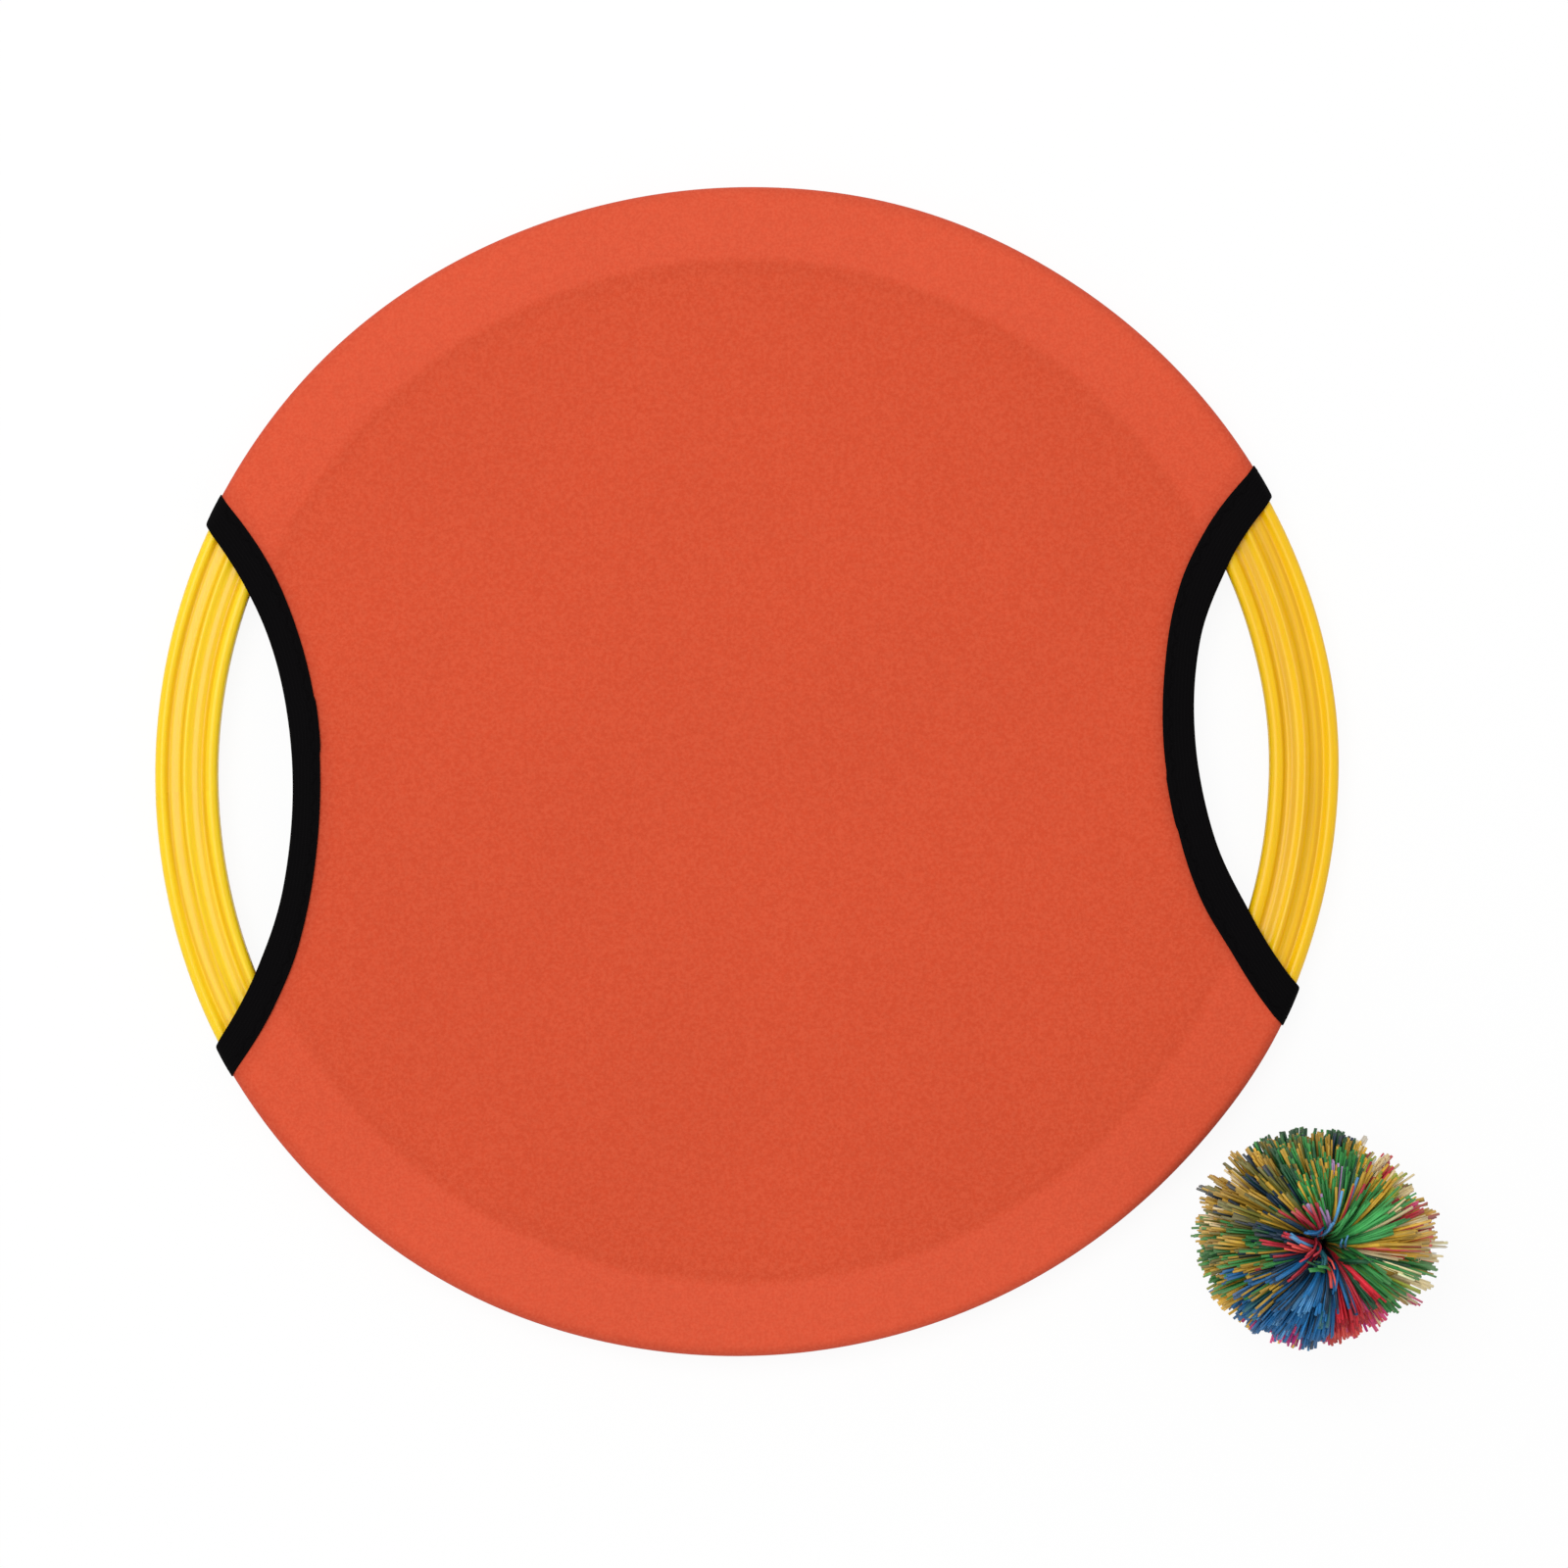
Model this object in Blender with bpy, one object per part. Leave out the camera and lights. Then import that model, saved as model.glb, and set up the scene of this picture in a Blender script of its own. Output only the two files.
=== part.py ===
"""Trampoline paddle with two hand openings, and the rubber strand ball that is played with it.

The paddle lies flat. A moulded ring carries a stretch cover made of a front and a back panel, whose edges
are turned round the ring and meet in a seam on the rim. The cover is cut away at the left and right, where
the hands hold the bare ring, and a loop of elastic tape binds each cut edge and passes round the rim. The
ball lies beside the lower right rim.

Metres, +Z up. The origin is the middle of the back panel's flat underside. +X runs through the two hand
openings and +Y to the paddle's far side.
"""

import math
import random
from typing import NamedTuple

import bmesh
import bpy
from mathutils import Vector

# Clearance between pieces that touch on the real object
TOUCH_GAP = 0.0003

# Moulded ring
RING_OUTER_RADIUS = 0.1495
RING_WIDTH = 0.017
RING_HEIGHT = 0.009
RING_EDGE_ROUND = 0.002
BEAD_RISE = 0.0012
BEAD_SHOULDER = 0.0017
RING_STEPS = 64
# Depth of the paddle from near to far as a share of its width: the cover draws the ring in between the hands
DRAWN_IN = 0.986

# Stretch cover
COVER_THICKNESS = 0.0005
COVER_CORNER_STEPS = 4
COVER_EDGE_STEPS = 40
# Heights, as seen from the front, at which each panel is parted into strips from side to side. The strips
# between them bend little, so that each is nearly as full as its own convex hull
PANEL_PARTS = (0.0173, 0.0335)
PANEL_ARC_STEPS = 8
PANEL_RIM_STEPS = 22
# The middle strip is parted again this far to either side, so that its middle lies clear of the tapes
PANEL_MIDDLE_REACH = 0.095

# Elastic tape along the cut edges
TAPE_THICKNESS = 0.0006
# Room for the hand between the middle of each tape and the ring's inner side
HAND_ROOM = 0.0185
# The stretched cover pulls its two edges into arcs that differ a little. The centre of each lies outside the
# ring, turned a little to the far side
RIGHT_ARC_RADIUS = 0.0992
RIGHT_SLANT = math.radians(1.6)
RIGHT_TAPE_WIDTH = 0.0072
RIGHT_TAPE_WIDTH_AT_RIM = 0.0093
LEFT_ARC_RADIUS = 0.1220
LEFT_SLANT = math.radians(0.8)
LEFT_TAPE_WIDTH = 0.0063
LEFT_TAPE_WIDTH_AT_RIM = 0.0084
TAPE_ARC_STEPS = 26
TAPE_CORNER_STEPS = 4
# The two ends of each tape lap over one another for a short way on the front
LAP_LENGTH = 0.012
LAP_SHIFT = 0.013
LAP_RISE = 0.0004
LAP_SPREAD = 0.0005

# Strand ball
BALL_LONG = 0.0630
BALL_SHORT = 0.0560
BALL_HEIGHT = 0.0520
BALL_FLAT = 0.0020
BALL_LONG_AXIS = math.radians(-12)
BALL_BEARING = math.radians(-41.4)
BALL_TO_RIM = 0.0046
TIE_RADIUS = 0.0060
TIE_STEPS = 20
SEAT_SPREAD = 0.62
HUB_SHARE = 0.40
POLE_OPENING = math.radians(13)
STRAND_ROWS = 10
STRAND_PITCH = math.radians(10.5)
STRAND_TIP_SHARE = 0.30
STRAND_SHORTEST = 0.86
STRAND_STRAY = 0.22
STRAND_SEED = 11

# Colours as the eye sees them, with roughness
YELLOW_PLASTIC = ((244, 202, 52), 0.32)
ORANGE_KNIT = ((218, 86, 56), 0.85)
BLACK_ELASTIC = ((17, 17, 19), 0.80)
GREY_BAND = ((96, 96, 98), 0.60)
STRAND_ROUGHNESS = 0.45

# Bundles of strands: name, where the bundle starts around the ball in degrees, colour. Each ends where the
# next one starts
BUNDLES = (
    ("strands_yellow", -12, (196, 160, 56)),
    ("strands_bright_green", 20, (58, 142, 78)),
    ("strands_dark_green", 70, (38, 98, 62)),
    ("strands_olive", 120, (150, 140, 60)),
    ("strands_moss_green", 163, (74, 124, 66)),
    ("strands_gold", 198, (190, 152, 52)),
    ("strands_blue", 233, (28, 96, 158)),
    ("strands_red", 273, (200, 46, 50)),
    ("strands_pink", 298, (220, 64, 122)),
    ("strands_leaf_green", 316, (66, 138, 74)),
)

# Places that follow from the sizes
RING_INNER_RADIUS = RING_OUTER_RADIUS - RING_WIDTH
RING_FLAT_RADIUS = RING_OUTER_RADIUS - RING_EDGE_ROUND
RING_BOTTOM = COVER_THICKNESS + TOUCH_GAP
RING_MIDDLE = RING_BOTTOM + RING_HEIGHT / 2
COVER_OUT = TOUCH_GAP + COVER_THICKNESS
TAPE_IN = COVER_OUT + TOUCH_GAP
TAPE_OUT = TAPE_IN + TAPE_THICKNESS
REST_LEVEL = RING_BOTTOM - TAPE_OUT


class Opening(NamedTuple):
    """One hand opening, as its own side sees it. side is 1 at the right and -1 at the left."""

    side: int
    arc_radius: float
    slant: float
    width: float
    width_at_rim: float

    @property
    def centre(self):
        """Distance of the arc's centre from the paddle's middle."""
        return RING_INNER_RADIUS - HAND_ROOM + self.arc_radius

    @property
    def cut_radius(self):
        """Radius of the arc along which the cover is cut away, under the fold of the tape."""
        return self.arc_radius + TAPE_THICKNESS + TOUCH_GAP

    def reach(self, radius, arc_radius):
        """Angle from the opening's axis, seen from the paddle's middle, at which an arc reaches a radius."""
        share = (radius ** 2 + self.centre ** 2 - arc_radius ** 2) / (2 * radius * self.centre)
        return math.acos(share)

    def corner(self, radius, half):
        """Angle from the X axis at which the cut reaches a radius. half is 1 far and -1 near."""
        return self.reach(radius, self.cut_radius) + half * self.slant

    def sweep(self, arc_radius):
        """Half the angle, seen from the arc's centre, that an arc spans on the flat of the cover."""
        return math.asin(RING_FLAT_RADIUS * math.sin(self.reach(RING_FLAT_RADIUS, arc_radius)) / arc_radius)


RIGHT_OPENING = Opening(1, RIGHT_ARC_RADIUS, RIGHT_SLANT, RIGHT_TAPE_WIDTH, RIGHT_TAPE_WIDTH_AT_RIM)
LEFT_OPENING = Opening(-1, LEFT_ARC_RADIUS, LEFT_SLANT, LEFT_TAPE_WIDTH, LEFT_TAPE_WIDTH_AT_RIM)


def clear_scene():
    for thing in list(bpy.data.objects):
        bpy.data.objects.remove(thing, do_unlink=True)


def linear(channel):
    """One colour channel of 0 to 255 as the linear value that a material takes."""
    share = channel / 255
    if share <= 0.04045:
        return share / 12.92
    return ((share + 0.055) / 1.055) ** 2.4


def make_material(name, colour, roughness):
    material = bpy.data.materials.new(name)
    material.use_nodes = True
    shader = material.node_tree.nodes["Principled BSDF"]
    rgba = (*(linear(channel) for channel in colour), 1.0)
    shader.inputs["Base Color"].default_value = rgba
    shader.inputs["Roughness"].default_value = roughness
    shader.inputs["Metallic"].default_value = 0.0
    material.diffuse_color = rgba
    return material


def add_object(name, body, material=None):
    """Put a finished bmesh into the scene as one object and free it."""
    bmesh.ops.recalc_face_normals(body, faces=body.faces)
    mesh = bpy.data.meshes.new(name)
    body.to_mesh(mesh)
    body.free()
    thing = bpy.data.objects.new(name, mesh)
    bpy.context.scene.collection.objects.link(thing)
    if material:
        mesh.materials.append(material)
    return thing


def smooth(thing, angle_deg=35):
    thing.data.shade_smooth()
    thing.data.set_sharp_from_angle(angle=math.radians(angle_deg))


def draw_in(body):
    """Make a round paddle piece slightly oval, as the cover holds it."""
    for vert in body.verts:
        vert.co.y *= DRAWN_IN


def spin_section(body, points, steps, closed):
    """Turn a chain of (radius, height) points once around the upright axis."""
    verts = [body.verts.new((radius, 0, height)) for radius, height in points]
    pairs = list(zip(verts, verts[1:]))
    if closed:
        pairs.append((verts[-1], verts[0]))
    edges = [body.edges.new(pair) for pair in pairs]
    bmesh.ops.spin(body, geom=verts + edges, cent=(0, 0, 0), axis=(0, 0, 1), angle=math.tau,
                   steps=steps, use_merge=True)


def bead_section():
    """The upper outline of the ring, outer edge first, as (distance from the outer edge, height) points.

    Three rounded beads stand on the face. The outer and the inner bead run into the ring's rounded edges.
    """
    crest = RING_HEIGHT / 2
    valley = crest - BEAD_RISE
    bend = RING_EDGE_ROUND * (1 - math.sqrt(0.5))
    half_rise = crest - BEAD_RISE / 2
    side = [
        (0, crest - RING_EDGE_ROUND),
        (bend, crest - bend),
        (RING_EDGE_ROUND, crest),
        (RING_EDGE_ROUND + BEAD_SHOULDER / 2, half_rise),
        (RING_EDGE_ROUND + BEAD_SHOULDER, valley),
    ]
    middle = RING_WIDTH / 2
    rise_to_middle = [
        (middle - BEAD_SHOULDER, valley),
        (middle - BEAD_SHOULDER / 2, half_rise),
    ]
    left = side + rise_to_middle
    right = [(RING_WIDTH - across, height) for across, height in reversed(left)]
    return left + [(middle, crest)] + right


def make_ring(material):
    upper = bead_section()
    lower = [(across, -height) for across, height in reversed(upper)]
    points = [(RING_OUTER_RADIUS - across, RING_MIDDLE + height) for across, height in upper + lower]
    body = bmesh.new()
    spin_section(body, points, RING_STEPS, closed=True)
    draw_in(body)
    thing = add_object("ring_frame", body, material)
    smooth(thing, 50)
    return thing


def rim_point(offset, turn):
    """A point of the ring's outer hull, pushed out by offset, as (radius, height above the ring's middle).

    turn is 90 degrees where the flat face ends and 0 where the rim stands upright.
    """
    reach = RING_EDGE_ROUND + offset
    upright = RING_HEIGHT / 2 - RING_EDGE_ROUND
    return RING_FLAT_RADIUS + reach * math.cos(turn), upright + reach * math.sin(turn)


def edge_points(offset):
    """The section of a cover's turned edge, from the end of the flat panel to the seam, at one offset."""
    turns = [math.pi / 2 * (1 - step / COVER_CORNER_STEPS) for step in range(COVER_CORNER_STEPS + 1)]
    points = [rim_point(offset, turn) for turn in turns]
    seam = (points[-1][0], TOUCH_GAP / 2)
    return points + [seam]


def panel_side(opening, half, low, high):
    """Points along one side of a flat panel, between two distances from the X axis: the cut, then the rim.

    half is 1 on the far half and -1 on the near half.
    """
    radius = RING_FLAT_RADIUS - TOUCH_GAP
    cut = opening.cut_radius
    middle = opening.centre * math.cos(opening.slant)
    aside = half * opening.centre * math.sin(opening.slant)
    corner = opening.corner(radius, half)
    top = min(high, radius * math.sin(corner))
    start = math.asin((low - aside) / cut)
    end = math.asin((top - aside) / cut)
    points = []
    for step in range(PANEL_ARC_STEPS + 1):
        angle = start + (end - start) * step / PANEL_ARC_STEPS
        points.append((middle - cut * math.cos(angle), aside + cut * math.sin(angle)))
    if high > top:
        for step in range(1, PANEL_RIM_STEPS + 1):
            angle = corner + (math.pi / 2 - corner) * step / PANEL_RIM_STEPS
            points.append((radius * math.cos(angle), radius * math.sin(angle)))
    return [(opening.side * x, half * y) for x, y in points]


def make_flat_piece(name, face, outline, material):
    """A flat piece of a cover with one outline, given as (x, y) points before the paddle is drawn in."""
    height = RING_MIDDLE + face * (RING_HEIGHT / 2 + COVER_OUT)
    body = bmesh.new()
    body.faces.new([body.verts.new((x, y, height)) for x, y in outline])
    made = bmesh.ops.extrude_face_region(body, geom=body.faces[:], use_keep_orig=True)["geom"]
    moved = [item for item in made if isinstance(item, bmesh.types.BMVert)]
    bmesh.ops.translate(body, verts=moved, vec=(0, 0, -face * COVER_THICKNESS))
    draw_in(body)
    return add_object(name, body, material)


def make_panel(name, face, material):
    """The flat part of one half of the cover, in strips. Its edge is turned in two further pieces."""
    inner, outer = PANEL_PARTS
    gap = TOUCH_GAP / 2
    reach = PANEL_MIDDLE_REACH - gap
    low = gap - inner
    high = inner - gap
    make_flat_piece(name, face, [(-reach, low), (reach, low), (reach, high), (-reach, high)], material)
    for place, opening in (("right", RIGHT_OPENING), ("left", LEFT_OPENING)):
        start = opening.side * (PANEL_MIDDLE_REACH + gap)
        outline = [(start, low)] + panel_side(opening, 1, low, high) + [(start, high)]
        make_flat_piece(f"{name}_{place}", face, outline, material)
    for part, low, high in (("inner_", inner + gap, outer - gap), ("", outer + gap, RING_FLAT_RADIUS)):
        for place, half in (("far", 1), ("near", -1)):
            right = panel_side(RIGHT_OPENING, half, low, high)
            left = panel_side(LEFT_OPENING, half, low, high)
            left = [point for point in reversed(left) if point[0] < -TOUCH_GAP]
            make_flat_piece(f"{name}_{part}{place}", face, right + left, material)


def make_cover_edge(name, face, half, material):
    """The turned edge of one half of the cover, between the two tapes on the far or the near side."""
    section = edge_points(COVER_OUT) + edge_points(TOUCH_GAP)[::-1]
    body = bmesh.new()
    rows = []
    for step in range(COVER_EDGE_STEPS + 1):
        row = []
        for radius, height in section:
            start = RIGHT_OPENING.corner(radius, half)
            end = math.pi - LEFT_OPENING.corner(radius, half)
            angle = half * (start + (end - start) * step / COVER_EDGE_STEPS)
            place = (radius * math.cos(angle), radius * math.sin(angle), RING_MIDDLE + face * height)
            row.append(body.verts.new(place))
        rows.append(row)
    for here, there in zip(rows, rows[1:]):
        for first in range(len(here)):
            second = (first + 1) % len(here)
            body.faces.new((here[first], here[second], there[second], there[first]))
    body.faces.new(rows[0])
    body.faces.new(rows[-1])
    draw_in(body)
    thing = add_object(name, body, material)
    smooth(thing)
    return thing


class Stop(NamedTuple):
    """One stop along a tape.

    face is 1 on the front half and -1 on the back half. share runs from -1 to 1 along the flat arc and
    stays there on the rim, where turn falls from 90 degrees at the flat to 0 on the upright side.
    """

    face: int
    share: float
    turn: float


def tape_stops():
    """The stops once round a tape: front, far rim, back, near rim."""
    flat = math.pi / 2
    shares = [2 * step / TAPE_ARC_STEPS - 1 for step in range(TAPE_ARC_STEPS + 1)]
    falling = [flat * (1 - step / TAPE_CORNER_STEPS) for step in range(1, TAPE_CORNER_STEPS + 1)]
    front = [Stop(1, share, flat) for share in shares]
    far_rim = [Stop(1, 1, turn) for turn in falling] + [Stop(-1, 1, turn) for turn in reversed(falling)]
    back = [Stop(-1, share, flat) for share in reversed(shares)]
    near_rim = [Stop(-1, -1, turn) for turn in falling] + [Stop(1, -1, turn) for turn in reversed(falling)]
    return front + far_rim + back + near_rim


def tape_point(opening, stop, arc_radius, offset):
    """Where an arc's upright wall meets the cover pushed out by offset, at one stop of one opening."""
    radius, height = rim_point(offset, stop.turn)
    if abs(stop.share) < 1:
        angle = opening.sweep(arc_radius) * stop.share
        x = opening.centre - arc_radius * math.cos(angle)
        y = arc_radius * math.sin(angle)
    else:
        angle = opening.reach(radius, arc_radius) * stop.share
        x = radius * math.cos(angle)
        y = radius * math.sin(angle)
    cosine = math.cos(opening.slant)
    sine = math.sin(opening.slant)
    across = opening.side * (x * cosine - y * sine)
    return Vector((across, x * sine + y * cosine, RING_MIDDLE + stop.face * height))


def lap_share(opening, stop):
    """1 on the short length where the tape's ends lap on the front, else 0."""
    along = opening.sweep(opening.arc_radius) * stop.share * opening.arc_radius
    return 1 if stop.face > 0 and abs(along + opening.side * LAP_SHIFT) < LAP_LENGTH / 2 else 0


def tape_width(opening, stop):
    """The tape is drawn narrow in the middle of its arc and is wider where it crosses the rim."""
    return opening.width + (opening.width_at_rim - opening.width) * stop.share ** 2


def tape_section(opening, stop):
    """The tape's outline at one stop as (arc radius, offset): a leg on the cover, a fold over its edge."""
    lap = lap_share(opening, stop)
    edge = opening.arc_radius
    far = edge + tape_width(opening, stop) + LAP_SPREAD * lap
    top = TAPE_OUT + LAP_RISE * lap
    bevel = TAPE_THICKNESS / 2
    return [
        (edge, TOUCH_GAP),
        (edge, top - bevel),
        (edge + bevel, top),
        (far - bevel, top),
        (far, TAPE_IN + bevel),
        (far, TAPE_IN),
        (edge + TAPE_THICKNESS, TAPE_IN),
        (edge + TAPE_THICKNESS, TOUCH_GAP),
    ]


def make_binding(name, opening, material):
    """A closed loop of tape around one hand opening."""
    body = bmesh.new()
    rings = []
    for stop in tape_stops():
        points = [tape_point(opening, stop, arc, offset) for arc, offset in tape_section(opening, stop)]
        rings.append([body.verts.new(point) for point in points])
    for here, there in zip(rings, rings[1:] + rings[:1]):
        for first in range(len(here)):
            second = (first + 1) % len(here)
            body.faces.new((here[first], here[second], there[second], there[first]))
    draw_in(body)
    thing = add_object(name, body, material)
    smooth(thing)
    return thing


def ball_reach(direction):
    """Distance from the ball's middle to its outline along a unit direction."""
    cosine = math.cos(BALL_LONG_AXIS)
    sine = math.sin(BALL_LONG_AXIS)
    along = direction.x * cosine + direction.y * sine
    across = direction.y * cosine - direction.x * sine
    stretch = (along / (BALL_LONG / 2)) ** 2
    stretch += (across / (BALL_SHORT / 2)) ** 2
    stretch += (direction.z / (BALL_HEIGHT / 2)) ** 2
    return 1 / math.sqrt(stretch)


def ball_middle():
    """The ball lies beside the rim, a little flattened where it rests."""
    bearing = Vector((math.cos(BALL_BEARING), math.sin(BALL_BEARING), 0))
    rim = RING_OUTER_RADIUS + COVER_OUT
    rim_reach = rim / math.hypot(bearing.x, bearing.y / DRAWN_IN)
    distance = rim_reach + BALL_TO_RIM + ball_reach(-bearing)
    height = REST_LEVEL + BALL_HEIGHT / 2 - BALL_FLAT
    return bearing * distance + Vector((0, 0, height))


def direction_to(around, up):
    level = math.cos(up)
    return Vector((level * math.cos(around), level * math.sin(around), math.sin(up)))


def make_tie(middle, material):
    """The round band in the middle of the ball, under the roots of all strands."""
    rises = [math.radians(rise) for rise in (60, 30, 0, -30, -60)]
    points = [(TIE_RADIUS * math.cos(rise), TIE_RADIUS * math.sin(rise)) for rise in rises]
    body = bmesh.new()
    spin_section(body, points, TIE_STEPS, closed=False)
    rims = [edge for edge in body.edges if edge.is_boundary]
    bmesh.ops.holes_fill(body, edges=rims, sides=0)
    thing = add_object("ball_tie", body, material)
    thing.location = middle
    smooth(thing)
    return thing


def bundle_grid(start, end, radius_at, squeeze, rng):
    """Rows of points over one bundle's part of the ball.

    The two border columns stay flat and stand back from the neighbouring bundles by half a touch gap. The
    points between them stray a little, so that the strands don't stand in ranks.
    """
    columns = max(2, round((end - start) / STRAND_PITCH))
    highest = math.pi / 2 - POLE_OPENING
    row_step = 2 * highest / STRAND_ROWS
    column_step = (end - start) / columns
    grid = []
    for row in range(STRAND_ROWS + 1):
        line = []
        for column in range(columns + 1):
            up = -highest + row * row_step
            around = start + column * column_step
            if 0 < row < STRAND_ROWS:
                up += rng.uniform(-STRAND_STRAY, STRAND_STRAY) * row_step
            if 0 < column < columns:
                around += rng.uniform(-STRAND_STRAY, STRAND_STRAY) * column_step
            way = direction_to(around, up * squeeze)
            point = way * radius_at(way)
            inward = {0: 1, columns: -1}.get(column, 0)
            aside = Vector((-math.sin(around), math.cos(around), 0))
            line.append(point + aside * inward * TOUCH_GAP / 2)
        grid.append(line)
    return grid


def add_strand(body, face, middle_height, rng):
    """Draw one root face out along its own direction into a long thin strand."""
    centre = face.calc_center_median()
    way = centre.normalized()
    reach = ball_reach(way) * rng.uniform(STRAND_SHORTEST, 1)
    tip_size = max((vert.co - centre).length for vert in face.verts) * STRAND_TIP_SHARE
    floor = REST_LEVEL - middle_height + tip_size * math.hypot(way.x, way.y)
    if reach * way.z < floor:
        reach = floor / way.z
    drawn = bmesh.ops.extrude_discrete_faces(body, faces=[face])["faces"][0]
    for vert in drawn.verts:
        vert.co = way * reach + (vert.co - centre) * STRAND_TIP_SHARE


def make_bundle(name, start, end, middle, material, seed):
    """The strands of one colour, with the packed roots that join them around the tie."""
    rng = random.Random(seed)
    roots = bundle_grid(start, end, lambda way: ball_reach(way) * HUB_SHARE, 1.0, rng)
    seats = bundle_grid(start, end, lambda way: TIE_RADIUS + TOUCH_GAP, SEAT_SPREAD, random.Random(seed))
    body = bmesh.new()
    outer = [[body.verts.new(point) for point in line] for line in roots]
    inner = [[body.verts.new(point) for point in line] for line in seats]
    rows = len(outer) - 1
    columns = len(outer[0]) - 1
    root_faces = []
    for row in range(rows):
        for column in range(columns):
            corners = [(row, column), (row, column + 1), (row + 1, column + 1), (row + 1, column)]
            if rng.random() < 0.5:
                corners = corners[1:] + corners[:1]
            quad = [outer[r][c] for r, c in corners]
            root_faces.append(body.faces.new((quad[0], quad[1], quad[2])))
            root_faces.append(body.faces.new((quad[0], quad[2], quad[3])))
            body.faces.new([inner[r][c] for r, c in reversed(corners)])
    for row in range(rows):
        body.faces.new((inner[row][0], outer[row][0], outer[row + 1][0], inner[row + 1][0]))
        body.faces.new((outer[row][-1], inner[row][-1], inner[row + 1][-1], outer[row + 1][-1]))
    for column in range(columns):
        body.faces.new((inner[0][column + 1], outer[0][column + 1], outer[0][column], inner[0][column]))
        body.faces.new((inner[-1][column], outer[-1][column], outer[-1][column + 1], inner[-1][column + 1]))
    bmesh.ops.recalc_face_normals(body, faces=body.faces)
    for face in root_faces:
        add_strand(body, face, middle.z, rng)
    thing = add_object(name, body, material)
    thing.location = middle
    return thing


def make_paddle():
    plastic = make_material("yellow_plastic", *YELLOW_PLASTIC)
    knit = make_material("orange_knit", *ORANGE_KNIT)
    elastic = make_material("black_elastic", *BLACK_ELASTIC)
    make_ring(plastic)
    make_panel("front_panel", 1, knit)
    make_panel("back_panel", -1, knit)
    make_cover_edge("front_edge_far", 1, 1, knit)
    make_cover_edge("front_edge_near", 1, -1, knit)
    make_cover_edge("back_edge_far", -1, 1, knit)
    make_cover_edge("back_edge_near", -1, -1, knit)
    make_binding("left_binding", LEFT_OPENING, elastic)
    make_binding("right_binding", RIGHT_OPENING, elastic)


def make_ball():
    middle = ball_middle()
    make_tie(middle, make_material("grey_band", *GREY_BAND))
    starts = [math.radians(start) for _, start, _ in BUNDLES]
    ends = starts[1:] + [starts[0] + math.tau]
    for index, (name, _, colour) in enumerate(BUNDLES):
        material = make_material(name, colour, STRAND_ROUGHNESS)
        make_bundle(name, starts[index], ends[index], middle, material, STRAND_SEED + index)


def main():
    clear_scene()
    make_paddle()
    make_ball()


main()
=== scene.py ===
"""Dressed model of a round trampoline paddle and its rubber strand ball.

The paddle is a moulded yellow ring in an orange stretch cover, whose two cut edges are bound with black
elastic tape. The ball is a thick tuft of thin rubber strands, tied in its middle. Metres, +Z up, in the
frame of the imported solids: +X runs through the two hand openings and +Y to the paddle's far side.
"""

import logging
import math
import random
from dataclasses import dataclass
from enum import Enum
from typing import Optional, Sequence, Union

import bpy
import numpy as np
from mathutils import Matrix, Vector


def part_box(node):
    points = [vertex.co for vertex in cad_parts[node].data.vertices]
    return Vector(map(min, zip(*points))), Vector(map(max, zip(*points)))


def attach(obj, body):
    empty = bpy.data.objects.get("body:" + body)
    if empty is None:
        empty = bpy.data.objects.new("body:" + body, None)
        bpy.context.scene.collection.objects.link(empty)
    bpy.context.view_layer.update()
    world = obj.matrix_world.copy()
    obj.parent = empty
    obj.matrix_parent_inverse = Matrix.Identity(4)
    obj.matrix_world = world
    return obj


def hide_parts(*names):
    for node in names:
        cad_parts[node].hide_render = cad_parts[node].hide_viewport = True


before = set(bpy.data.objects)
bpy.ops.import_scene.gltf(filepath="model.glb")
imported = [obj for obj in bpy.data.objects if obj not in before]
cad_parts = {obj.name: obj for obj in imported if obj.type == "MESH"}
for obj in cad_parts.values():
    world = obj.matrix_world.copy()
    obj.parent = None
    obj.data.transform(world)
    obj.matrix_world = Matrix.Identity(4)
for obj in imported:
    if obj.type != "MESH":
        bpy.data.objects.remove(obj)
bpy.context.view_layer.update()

log = logging.getLogger("paddle_set")

Colour = tuple[int, int, int]
Value = Union[float, bpy.types.NodeSocket]

MERGE_DISTANCE = 0.000002
EVEN_STOPS = tuple(step / 4 - 1 for step in range(9))
GOLDEN_SHARE = 0.618034


class Face(Enum):
    """The two faces of the paddle."""

    FRONT = 1
    BACK = -1


class Side(Enum):
    """The two hand openings, as the sign of their X."""

    RIGHT = 1
    LEFT = -1


class Reach(Enum):
    """The far and the near half of the rim, as the sign of their Y."""

    FAR = 1
    NEAR = -1


class TipCut(Enum):
    """How one bundle's strands end: the shortest share of the full length, and how far tips spread."""

    COMBED = (0.955, 2.6)
    EVEN = (0.90, 1.9)
    RAGGED = (0.80, 1.3)

    @property
    def shortest(self) -> float:
        """Shortest share of the full length."""
        return self.value[0]

    @property
    def spread(self) -> float:
        """How far the tips of one sheaf spread, in degrees."""
        return self.value[1]


def linear_colour(colour: Colour) -> tuple[float, float, float, float]:
    """Turn a colour as the eye sees it into the linear one that a shader takes.

    Args:
        colour: Red, green and blue from 0 to 255.

    Returns:
        The linear colour with full opacity.
    """
    shares = [channel / 255 for channel in colour]
    linear = [share / 12.92 if share <= 0.04045 else ((share + 0.055) / 1.055) ** 2.4 for share in shares]
    return linear[0], linear[1], linear[2], 1.0


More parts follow.
